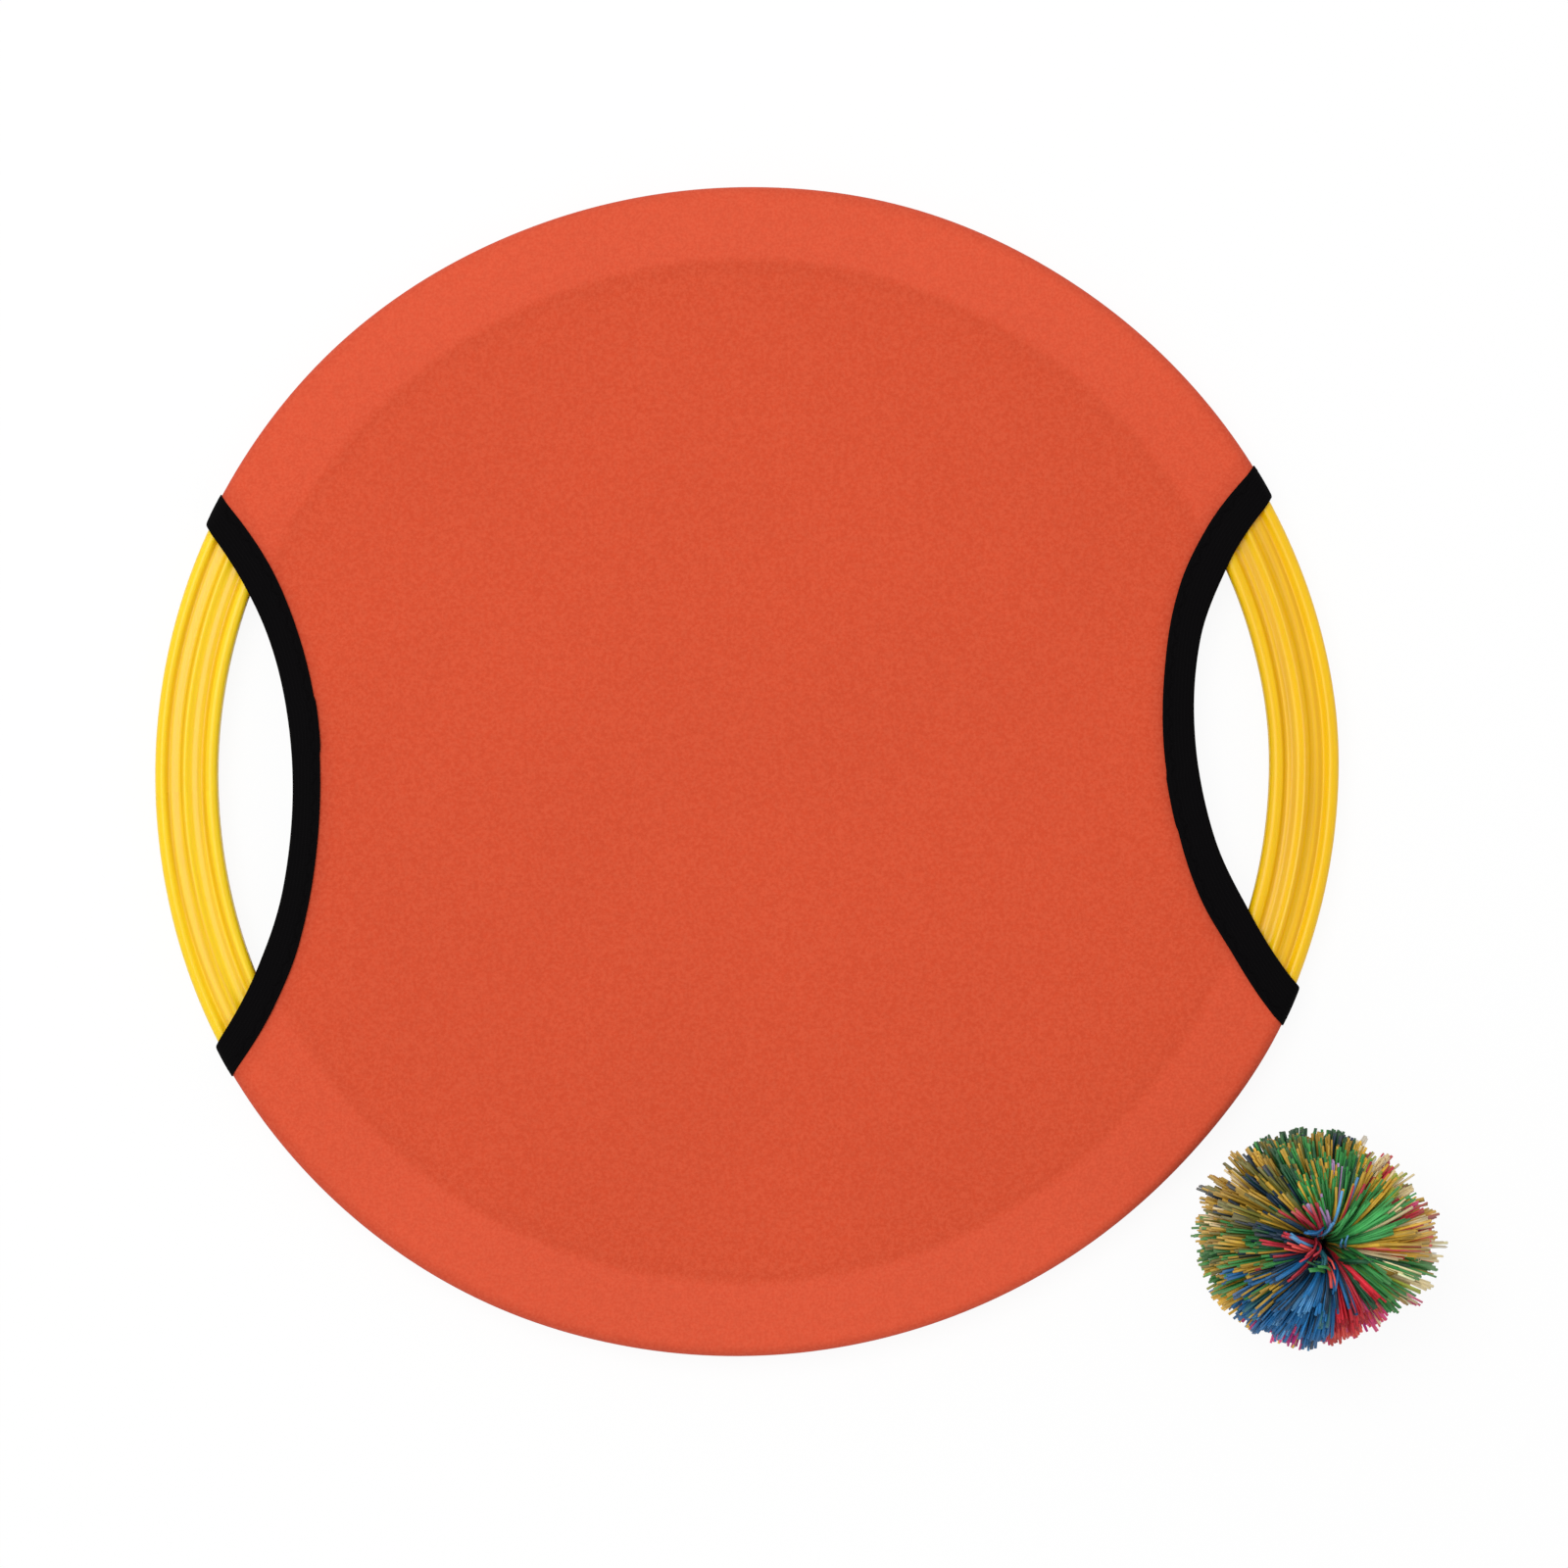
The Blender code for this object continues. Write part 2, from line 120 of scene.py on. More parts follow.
def smooth_line(marks: Sequence[float], values: Sequence[float], at: np.ndarray | float) -> np.ndarray:
    """Draw a smooth line through given values.

    Args:
        marks: Where the values stand, rising.
        values: The value at each mark.
        at: Where the line is read.

    Returns:
        The line's value at each place.
    """
    stands = np.array(marks, dtype=float)
    levels = np.array(values, dtype=float)
    slopes = np.gradient(levels, stands)
    spans = np.clip(np.searchsorted(stands, at, side="right") - 1, 0, len(stands) - 2)
    width = stands[spans + 1] - stands[spans]
    t = (at - stands[spans]) / width
    line = (1 + 2 * t) * (1 - t) ** 2 * levels[spans] + t * (1 - t) ** 2 * width * slopes[spans]
    return line + t ** 2 * (3 - 2 * t) * levels[spans + 1] + t ** 2 * (t - 1) * width * slopes[spans + 1]


def smooth_step(value: np.ndarray | float) -> np.ndarray | float:
    """Ease a share between 0 and 1, held at both ends.

    Args:
        value: The share, which may lie outside 0 to 1.

    Returns:
        The eased share.
    """
    held = np.clip(value, 0.0, 1.0)
    return held * held * (3 - 2 * held)


class ShadeTree:
    """A material's node tree, with one short method for each kind of node that the finishes use."""

    def __init__(self, owner: Union[str, bpy.types.World]) -> None:
        """Start an empty tree.

        Args:
            owner: The name of a new material, or the world that the tree lights.
        """
        self.owner = bpy.data.materials.new(owner) if isinstance(owner, str) else owner
        self.owner.use_nodes = True
        self.tree = self.owner.node_tree
        self.tree.nodes.clear()

    def node(self, kind: str, inputs: dict[Union[str, int], object], **settings: object) -> bpy.types.Node:
        """Add one node.

        Args:
            kind: The node's type in Blender.
            inputs: A value or a socket for each named or numbered input.
            **settings: The node's own settings.

        Returns:
            The new node.
        """
        made = self.tree.nodes.new(kind)
        for key, value in settings.items():
            setattr(made, key, value)
        for key, value in inputs.items():
            if isinstance(value, bpy.types.NodeSocket):
                self.tree.links.new(value, made.inputs[key])
            else:
                made.inputs[key].default_value = value
        return made

    def place(self) -> bpy.types.NodeSocket:
        """Return the point's place on the object, in metres."""
        return self.node("ShaderNodeTexCoord", {}).outputs["Object"]

    def flat_place(self) -> bpy.types.NodeSocket:
        """Return the point's place on the piece's flat pattern, in metres."""
        return self.node("ShaderNodeUVMap", {}, uv_map="flat_pattern").outputs["UV"]

    def parts(self, vector: bpy.types.NodeSocket) -> list[bpy.types.NodeSocket]:
        """Split a vector into its three sockets."""
        return list(self.node("ShaderNodeSeparateXYZ", {0: vector}).outputs)

    def joined(self, x: Value, y: Value, z: Value) -> bpy.types.NodeSocket:
        """Join three values into one vector socket."""
        return self.node("ShaderNodeCombineXYZ", {0: x, 1: y, 2: z}).outputs[0]

    def length(self, x: Value, y: Value) -> bpy.types.NodeSocket:
        """Return how long a level vector is."""
        return self.node("ShaderNodeVectorMath", {0: self.joined(x, y, 0.0)}, operation='LENGTH').outputs[1]

    def math(self, operation: str, first: Value, second: Value = 0.0,
             third: Value = 0.0) -> bpy.types.NodeSocket:
        """Add a math node.

        Args:
            operation: The operation's name in Blender.
            first: The first value or socket.
            second: The second one, where the operation takes it.
            third: The third one, where the operation takes it.

        Returns:
            The result's socket.
        """
        inputs = {0: first, 1: second, 2: third}
        return self.node("ShaderNodeMath", inputs, operation=operation).outputs[0]

    def noise(self, vector: bpy.types.NodeSocket, scale: float, detail: float = 2.0) -> bpy.types.NodeSocket:
        """Add a noise of one scale, in lumps per metre, and return its value's socket."""
        inputs = {"Vector": vector, "Scale": scale, "Detail": detail}
        return self.node("ShaderNodeTexNoise", inputs).outputs["Fac"]

    def ranged(self, value: Value, start: float, end: float, low: float, high: float) -> bpy.types.NodeSocket:
        """Ease a value from one range to another.

        Args:
            value: The value's socket.
            start: Where the result is low.
            end: Where the result is high.
            low: The result at the start.
            high: The result at the end.

        Returns:
            The result's socket.
        """
        inputs = {"Value": value, "From Min": start, "From Max": end, "To Min": low, "To Max": high}
        return self.node("ShaderNodeMapRange", inputs, interpolation_type='SMOOTHSTEP').outputs["Result"]

    def mixed(self, share: Value, first: object, second: object, blend: str = 'MIX') -> bpy.types.NodeSocket:
        """Mix two colours.

        Args:
            share: How much of the second colour shows.
            first: The first colour or its socket.
            second: The second colour or its socket.
            blend: The way in which the second goes over the first.

        Returns:
            The mixed colour's socket.
        """
        inputs = {0: share, 6: first, 7: second}
        made = self.node("ShaderNodeMix", inputs, data_type='RGBA', blend_type=blend)
        return made.outputs[2]

    def brighter(self, colour: object, factor: Value) -> bpy.types.NodeSocket:
        """Multiply a colour by a value near 1."""
        grey = self.joined(factor, factor, factor)
        return self.mixed(1.0, colour, grey, 'MULTIPLY')

    def bump(self, height: bpy.types.NodeSocket, depth: float, strength: float = 1.0,
             under: Optional[bpy.types.NodeSocket] = None) -> bpy.types.NodeSocket:
        """Add relief.

        Args:
            height: The relief's height as a share of its depth.
            depth: The relief's full depth in metres.
            strength: How strongly it shows.
            under: The normal of a coarser relief under it.

        Returns:
            The normal's socket.
        """
        inputs = {"Height": height, "Distance": depth, "Strength": strength}
        if under is not None:
            inputs["Normal"] = under
        return self.node("ShaderNodeBump", inputs).outputs["Normal"]

    def surface(self, inputs: dict[str, object]) -> bpy.types.Material:
        """Close the tree with a principled shader.

        Args:
            inputs: A value or a socket for each of the shader's named inputs.

        Returns:
            The finished material.
        """
        shader = self.node("ShaderNodeBsdfPrincipled", inputs)
        return self.output(shader.outputs["BSDF"])

    def output(self, shader: bpy.types.NodeSocket) -> bpy.types.Material:
        """Send a shader to the material's output and return the material."""
        self.node("ShaderNodeOutputMaterial", {"Surface": shader})
        return self.owner


@dataclass(frozen=True)
class MouldedPlastic:
    """Semi-gloss moulded plastic, a little translucent, with faint flow marks along the ring. Its tones are
    painted darker on the right than on the left as painted light, with a painted reflection on the flat
    valleys and painted shade in the grooves.
    """

    name: str
    sizes: "PaddleSizes"
    colour: tuple[Colour, Colour]
    pale: tuple[Colour, Colour]
    deep: tuple[Colour, Colour]
    roughness: float
    valleys: tuple[tuple[float, float], ...] = ((0.31, 0.075), (0.61, 0.06))
    grooves: tuple[tuple[float, float], ...] = ((0.205, 0.035), (0.73, 0.045), (0.415, 0.03))

    def near(self, tree: ShadeTree, inward: Value, bands: tuple[tuple[float, float], ...]) -> Value:
        """Mark some bands along the ring.

        Args:
            tree: The material's tree.
            inward: How far inward a point lies, as a share of the ring's width.
            bands: The share at the middle of each band, and its spread.

        Returns:
            1 on the bands, eased to 0 beside them.
        """
        nearest: Value = 0.0
        for share, spread in bands:
            aside = tree.math('ABSOLUTE', tree.math('SUBTRACT', inward, share))
            on_band = tree.ranged(aside, spread * 0.35, spread * 1.35, 1.0, 0.0)
            nearest = tree.math('MAXIMUM', nearest, on_band)
        return nearest

    def material(self) -> bpy.types.Material:
        """Build the plastic's material."""
        tree = ShadeTree(self.name)
        place = tree.place()
        x, y, _ = tree.parts(place)
        around = tree.math('ARCTAN2', y, x)
        round_y = tree.math('DIVIDE', y, self.sizes.drawn_in)
        radius = tree.length(x, round_y)
        flow = tree.noise(tree.joined(tree.math('MULTIPLY', around, 0.004), radius, 0.0), 900.0, 3.0)
        cloud = tree.noise(place, 26.0, 2.0)
        depth = tree.math('SUBTRACT', self.sizes.outer_radius, radius)
        inward = tree.math('DIVIDE', depth, self.sizes.ring_width)
        valley = self.near(tree, inward, self.valleys)
        groove = self.near(tree, inward, self.grooves)
        # Painted light: each tone runs from its left colour to a darker right one, as if lit by a lamp on the
        # left.
        across = tree.ranged(x, -0.12, 0.12, 0.0, 1.0)
        plain, pale, deep = (tree.mixed(across, linear_colour(left), linear_colour(right))
                             for left, right in (self.colour, self.pale, self.deep))
        # Painted reflection: the flat valleys paler, as if reflecting the light above.
        painted_reflection = tree.math('MULTIPLY', valley, tree.ranged(cloud, 0.3, 0.7, 0.55, 0.95))
        tone = tree.mixed(painted_reflection, plain, pale)
        # Painted shade: deeper orange in the grooves at the beads' feet.
        tone = tree.mixed(tree.math('MULTIPLY', groove, 0.5), tone, deep)
        tone = tree.brighter(tone, tree.ranged(flow, 0.3, 0.7, 0.955, 1.045))
        gloss = tree.math('ADD', tree.ranged(flow, 0.3, 0.75, -0.03, 0.05), self.roughness)
        skin = tree.noise(place, 2600.0, 2.0)
        return tree.surface({
            "Base Color": tone,
            "Roughness": gloss,
            "IOR": 1.42,
            "Specular IOR Level": 0.38,
            "Subsurface Weight": 0.3,
            "Subsurface Radius": (1.0, 0.65, 0.1),
            "Subsurface Scale": 0.003,
            "Coat Weight": 0.04,
            "Coat Roughness": 0.2,
            "Normal": tree.bump(skin, 0.00003, 0.5),
        })


@dataclass(frozen=True)
class StretchKnit:
    """Fine jersey knit under tension. Over the ring it is lighter, partly as the yellow ring showing through
    the knit and partly as painted light, stronger toward the top and bottom; painted shade darkens it in the
    dip inside the ring, beside the tapes and where it turns over the rim.
    """

    name: str
    colour: Colour
    # over_ring is the lighter colour where the ring lies under the knit: the ring showing through, with
    # painted light.
    over_ring: Colour
    shaded: Colour
    fibre: Colour
    wale: float = 0.00052
    course: float = 0.00042
    ring_edge: tuple[float, float] = (-0.0025, 0.0005)
    hollow_in: float = 0.0032
    hollow_width: float = 0.003
    tape_shade: tuple[float, float] = (0.0045, -0.001)
    rim_shade: float = 0.001

    def knit_relief(self, tree: ShadeTree, grain: bpy.types.NodeSocket) -> bpy.types.NodeSocket:
        """Draw the columns of small loops.

        Args:
            tree: The material's tree.
            grain: A fine noise that keeps the loops from lining up too well.

        Returns:
            The relief's height, 0 to 1.
        """
        across, along, _ = tree.parts(tree.flat_place())
        drift = tree.math('MULTIPLY', tree.math('SUBTRACT', grain, 0.5), 0.55)
        column = tree.math('ADD', tree.math('DIVIDE', across, self.wale), drift)
        aside = tree.math('ABSOLUTE', tree.math('SUBTRACT', tree.math('FRACT', column), 0.5))
        leg = tree.math('SUBTRACT', 1.0, tree.math('MULTIPLY', tree.math('ABSOLUTE', tree.math(
            'SUBTRACT', aside, 0.25)), 4.0))
        row = tree.math('ADD', tree.math('DIVIDE', along, self.course), tree.math('ADD', drift, aside))
        loop = tree.math('MULTIPLY_ADD', tree.math('SINE', tree.math('MULTIPLY', row, math.tau)), 0.3, 0.7)
        return tree.math('MULTIPLY', leg, loop)

    def material(self, sizes: "PaddleSizes") -> bpy.types.Material:
        """Build the knit's material.

        Args:
            sizes: The paddle's sizes, for where the ring and the tapes lie.

        Returns:
            The finished material.
        """
        tree = ShadeTree(self.name)
        place = tree.place()
        x, y, _ = tree.parts(place)
        round_y = tree.math('DIVIDE', y, sizes.drawn_in)
        radius = tree.length(x, round_y)
        edge = [sizes.inner_radius + reach for reach in self.ring_edge]
        # The band over the ring: the ring showing through the knit, and painted light that is stronger toward
        # the top and bottom.
        on_ring = tree.ranged(radius, *edge, 0.0, 1.0)
        upright = tree.math('ABSOLUTE', tree.math('DIVIDE', round_y, sizes.outer_radius))
        on_ring = tree.math('MULTIPLY', on_ring, tree.ranged(upright, 0.35, 0.85, 0.55, 1.0))
        inside = tree.math('ABSOLUTE', tree.math('SUBTRACT', radius, sizes.inner_radius - self.hollow_in))
        hollow = tree.ranged(inside, 0.0, self.hollow_width, 1.0, 0.0)
        from_tape: Value = 1.0
        for opening in sizes.openings:
            middle_x, middle_y = opening.turned(opening.centre, 0.0)
            aside = tree.length(tree.math('SUBTRACT', x, middle_x), tree.math('SUBTRACT', round_y, middle_y))
            past = tree.math('SUBTRACT', aside, opening.arc_radius + opening.tape_width(0.0))
            from_tape = tree.math('MINIMUM', from_tape, past)
        at_tape = tree.ranged(from_tape, *self.tape_shade, 0.0, 1.0)
        at_rim = tree.ranged(radius, sizes.flat_radius - self.rim_shade,
                             sizes.outer_radius + self.rim_shade, 0.0, 1.0)
        grain = tree.noise(place, 1400.0, 2.5)
        fluff = tree.noise(place, 700.0, 3.0)
        cloud = tree.noise(place, 16.0, 2.0)
        tone = tree.mixed(on_ring, linear_colour(self.colour), linear_colour(self.over_ring))
        # Painted shade: darker in the dip inside the ring, beside the tapes and where the cover turns over
        # the rim.
        for where, weight in ((hollow, 0.1), (at_tape, 0.45), (at_rim, 0.35)):
            tone = tree.mixed(tree.math('MULTIPLY', where, weight), tone, linear_colour(self.shaded))
        tone = tree.mixed(tree.ranged(grain, 0.3, 0.7, 0.0, 0.24), tone, linear_colour(self.fibre))
        relief = self.knit_relief(tree, fluff)
        # fluff and cloud vary the tone at random; relief paints the gaps between the loops darker, as painted
        # shade.
        for value, *limits in ((fluff, 0.3, 0.7, 0.955, 1.015), (cloud, 0.3, 0.7, 0.985, 1.015),
                               (relief, 0.0, 1.0, 0.965, 1.03)):
            tone = tree.brighter(tone, tree.ranged(value, *limits))
        normal = tree.bump(relief, 0.00006, 0.35, tree.bump(grain, 0.00008, 0.4))
        return tree.surface({
            "Base Color": tone,
            "Roughness": tree.ranged(grain, 0.3, 0.7, 0.78, 0.92),
            "Specular IOR Level": 0.18,
            "Sheen Weight": 0.05,
            "Sheen Roughness": 0.45,
            "Normal": normal,
        })


@dataclass(frozen=True)
class RibbedElastic:
    """Woven elastic tape: fine cords along it, crossed by close weft threads."""

    name: str
    colour: Colour
    cord_top: Colour
    rib: float = 0.00085
    weft: float = 0.00055

    def material(self) -> bpy.types.Material:
        """Build the tape's material."""
        tree = ShadeTree(self.name)
        along, across, _ = tree.parts(tree.flat_place())
        place = tree.place()
        fuzz = tree.noise(place, 1500.0, 3.0)
        cord = tree.math('SINE', tree.math('MULTIPLY', across, math.tau / self.rib))
        cross = tree.math('SINE', tree.math('MULTIPLY_ADD', across, math.tau / self.rib / 2, tree.math(
            'MULTIPLY', along, math.tau / self.weft)))
        height = tree.math('MULTIPLY_ADD', cord, 0.32, tree.math('MULTIPLY_ADD', cross, 0.16, 0.5))
        # Lighter on the tops of the raised cords, patchy with the fuzz.
        cord_top_share = tree.math('MULTIPLY', tree.ranged(height, 0.55, 0.95, 0.0, 0.6), tree.ranged(
            fuzz, 0.4, 0.7, 0.4, 1.0))
        tone = tree.mixed(cord_top_share, linear_colour(self.colour), linear_colour(self.cord_top))
        normal = tree.bump(height, 0.00012, 0.8, tree.bump(fuzz, 0.00006, 0.5))
        return tree.surface({
            "Base Color": tone,
            "Roughness": 0.9,
            "Specular IOR Level": 0.03,
            "Normal": normal,
        })


@dataclass(frozen=True)
class SewingThread:
    """Spun thread with a fine twist."""

    name: str
    colour: Colour
    shine: float = 0.3
    twist_pitch: float = 0.0004

    def material(self) -> bpy.types.Material:
        """Build the thread's material."""
        tree = ShadeTree(self.name)
        place = tree.place()
        lint = tree.noise(place, 2400.0, 2.0)
        x, y, z = tree.parts(place)
        slant = tree.math('ADD', tree.math('ADD', x, y), z)
        twist = tree.math('SINE', tree.math('MULTIPLY', slant, math.tau / self.twist_pitch))
        # Painted shade: darker in the grooves of the twist, with the bump from the same wave.
        tone = tree.brighter(linear_colour(self.colour), tree.ranged(twist, -1.0, 1.0, 0.86, 1.08))
        tone = tree.brighter(tone, tree.ranged(lint, 0.3, 0.7, 0.92, 1.08))
        return tree.surface({
            "Base Color": tone,
            "Roughness": 0.75,
            "Specular IOR Level": self.shine,
            "Normal": tree.bump(twist, 0.00005, 0.6),
        })


@dataclass(frozen=True)
class StrandRubber:
    """Thin coloured rubber, each strand in the colour that its own attribute holds."""

    name: str
    middle: Vector
    roughness: float = 0.46

    def material(self) -> bpy.types.Material:
        """Build the strands' material."""
        tree = ShadeTree(self.name)
        tone = tree.node("ShaderNodeAttribute", {}, attribute_name="strand_tone").outputs["Color"]
        place = tree.place()
        from_middle = tree.node("ShaderNodeVectorMath", {0: place, 1: tuple(self.middle)},
                                operation='DISTANCE').outputs["Value"]
        # Painted shade: darker deep inside the ball, near its middle.
        tone = tree.brighter(tone, tree.ranged(from_middle, 0.007, 0.023, 0.3, 1.0))
        tone = tree.mixed(tree.ranged(from_middle, 0.025, 0.033, 0.0, 0.2), tone, (0.86, 0.78, 0.6, 1.0))
        bloom = tree.noise(place, 260.0, 2.0)
        dust = tree.noise(place, 1800.0, 2.0)
        tone = tree.brighter(tone, tree.ranged(bloom, 0.3, 0.7, 0.88, 1.12))
        tone = tree.mixed(tree.ranged(dust, 0.55, 0.85, 0.0, 0.06), tone, (0.8, 0.8, 0.78, 1.0))
        return tree.surface({
            "Base Color": tone,
            "Roughness": tree.ranged(bloom, 0.3, 0.7, self.roughness - 0.06, self.roughness + 0.1),
            "Specular IOR Level": 0.35,
            "Subsurface Weight": 0.12,
            "Subsurface Radius": (1.0, 0.8, 0.6),
            "Subsurface Scale": 0.0008,
            "Normal": tree.bump(dust, 0.00003, 0.4),
        })


@dataclass(frozen=True)
class BandRubber:
    """The band around the strands' middle, of dark rubber painted darker still as shade deep in the ball's
    pole.
    """

    name: str
    colour: Colour

    def material(self) -> bpy.types.Material:
        """Build the band's material."""
        tree = ShadeTree(self.name)
        place = tree.place()
        lumps = tree.noise(place, 500.0, 3.0)
        tone = tree.brighter(linear_colour(self.colour), tree.ranged(lumps, 0.3, 0.7, 0.85, 1.12))
        return tree.surface({
            "Base Color": tone,
            "Roughness": 0.62,
            "Normal": tree.bump(lumps, 0.00008, 0.6),
        })


@dataclass(frozen=True)
class StudioFloor:
    """White paper that shows as white and keeps a soft shadow of what lies on it."""

    name: str
    shadow_share: float = 0.08

    def material(self) -> bpy.types.Material:
        """Build the floor's material."""
        tree = ShadeTree(self.name)
        grain = tree.noise(tree.place(), 900.0, 2.0)
        paper = tree.node("ShaderNodeBsdfDiffuse", {
            "Color": tree.brighter((0.97, 0.97, 0.97, 1.0), tree.ranged(grain, 0.3, 0.7, 0.99, 1.01)),
        })
        white = tree.node("ShaderNodeEmission", {"Color": (1.0, 1.0, 1.0, 1.0), "Strength": 1.0})
        share = tree.math('MULTIPLY', seen_directly(tree), 1 - self.shadow_share)
        mixed = tree.node("ShaderNodeMixShader", {0: share, 1: paper.outputs[0], 2: white.outputs[0]})
        return tree.output(mixed.outputs[0])


def seen_directly(tree: ShadeTree) -> bpy.types.NodeSocket:
    """Tell the rays that show a background: straight ones, and those off gloss or through glass.

    Args:
        tree: The tree that needs to know.

    Returns:
        A socket that is 1 on such a ray and 0 on any other.
    """
    path = tree.node("ShaderNodeLightPath", {}).outputs
    gloss = tree.math('MAXIMUM', path["Is Glossy Ray"], path["Is Transmission Ray"])
    return tree.math('MAXIMUM', path["Is Camera Ray"], gloss)


def deselect_all() -> None:
    """Leave edit mode and deselect every object, so that an operator acts on one piece only."""
    if bpy.context.mode != 'OBJECT':
        bpy.ops.object.mode_set(mode='OBJECT')
    bpy.ops.object.select_all(action='DESELECT')


def pick(piece: bpy.types.Object) -> None:
    """Make one piece the selected and active one."""
    deselect_all()
    piece.select_set(True)
    bpy.context.view_layer.objects.active = piece


def new_piece(name: str) -> bpy.types.Object:
    """Name the primitive that was just added.

    Args:
        name: The piece's name, which its mesh takes too.

    Returns:
        The piece.
    """
    piece = bpy.context.object
    piece.name = name
    piece.data.name = name
    return piece


def edit_all(piece: bpy.types.Object) -> None:
    """Enter edit mode on one piece with all of it selected."""
    pick(piece)
    bpy.ops.object.mode_set(mode='EDIT')
    bpy.ops.mesh.select_all(action='SELECT')


def close_up(piece: bpy.types.Object) -> None:
    """Merge the points that meet and turn all faces outward."""
    edit_all(piece)
    bpy.ops.mesh.remove_doubles(threshold=MERGE_DISTANCE)
    bpy.ops.mesh.normals_make_consistent(inside=False)
    bpy.ops.object.mode_set(mode='OBJECT')


def spun(name: str, section: Sequence[tuple[float, float]], steps: int) -> bpy.types.Object:
    """Draw a section from a circle primitive and spin it round the upright axis.

    Args:
        name: The piece's name.
        section: The section's (radius, height) points.
        steps: How many steps make the full turn.

    Returns:
        The new piece, closed.
    """
    deselect_all()
    bpy.ops.mesh.primitive_circle_add(vertices=len(section), radius=0.01)
    piece = new_piece(name)
    for vert, (radius, height) in zip(piece.data.vertices, section):
        vert.co = (radius, 0.0, height)
    edit_all(piece)
    bpy.ops.mesh.spin(steps=steps, angle=math.tau, center=(0, 0, 0), axis=(0, 0, 1))
    close_up(piece)
    return piece


def cut_across(piece: bpy.types.Object, places: Sequence[float]) -> None:
    """Apply a new piece's placing and cut it across at some places along X."""
    bpy.ops.object.transform_apply(location=True, rotation=True, scale=True)
    edit_all(piece)
    for place in places:
        bpy.ops.mesh.select_all(action='SELECT')
        bpy.ops.mesh.bisect(plane_co=(place, 0, 0), plane_no=(1, 0, 0))
    bpy.ops.object.mode_set(mode='OBJECT')


def shade(piece: bpy.types.Object, degrees: float = 35.0) -> None:
    """Shade a piece smooth, with edges sharper than an angle left crisp."""
    pick(piece)
    bpy.ops.object.shade_smooth_by_angle(angle=math.radians(degrees))


def dress(piece: bpy.types.Object, material: bpy.types.Material, slot: str, *nodes: str) -> None:
    """Give a piece its finish and fix it to the paddle set.

    Args:
        piece: The finished piece.
        material: Its material.
        slot: A name for the finish's slot; it is not used.
        *nodes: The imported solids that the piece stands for.
    """
    piece.data.materials.clear()
    piece.data.materials.append(material)
    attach(piece, "root")
    if nodes:
        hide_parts(*nodes)
    log.info("%s: %d faces", piece.name, len(piece.data.polygons))


def laid_grid(name: str, points: np.ndarray, flat: np.ndarray) -> bpy.types.Object:
    """Lay a grid primitive over a field of points, with its flat pattern kept as a UV map.

    Args:
        name: The piece's name.
        points: The place of each grid point, as columns by rows by three.
        flat: The flat place of each grid point, as columns by rows by two.

    Returns:
        The new piece, with the grid's own edges still open.
    """
    columns, rows = points.shape[0] - 1, points.shape[1] - 1
    deselect_all()
    bpy.ops.mesh.primitive_grid_add(x_subdivisions=columns, y_subdivisions=rows, size=2.0, calc_uvs=True)
    piece = new_piece(name)
    mesh = piece.data
    count = len(mesh.vertices)
    start = np.zeros(count * 3)
    mesh.vertices.foreach_get("co", start)
    start = start.reshape(-1, 3)
    column = np.rint((start[:, 0] + 1) / 2 * columns).astype(int)
    row = np.rint((start[:, 1] + 1) / 2 * rows).astype(int)
    mesh.vertices.foreach_set("co", points[column, row].ravel())
    corner = np.zeros(len(mesh.loops), dtype=np.int32)
    mesh.loops.foreach_get("vertex_index", corner)
    mesh.uv_layers[0].name = "flat_pattern"
    mesh.uv_layers[0].data.foreach_set("uv", flat[column[corner], row[corner]].ravel())
    mesh.update()
    return piece


def apply_modifier(piece: bpy.types.Object, kind: str, **settings: object) -> None:
    """Add one modifier and apply it.

    Args:
        piece: The piece to change.
        kind: The modifier's type in Blender.
        **settings: The modifier's own settings.
    """
    pick(piece)
    modifier = piece.modifiers.new(kind.title(), kind)
    for key, value in settings.items():
        setattr(modifier, key, value)
    bpy.ops.object.modifier_apply(modifier=modifier.name)


def unit(vectors: np.ndarray) -> np.ndarray:
    """Scale vectors to length 1."""
    return vectors / np.linalg.norm(vectors, axis=-1, keepdims=True)


def square_to(vectors: np.ndarray, ways: np.ndarray) -> np.ndarray:
    """Turn vectors square to unit directions, with length 1."""
    return unit(vectors - ways * np.sum(vectors * ways, axis=-1, keepdims=True))


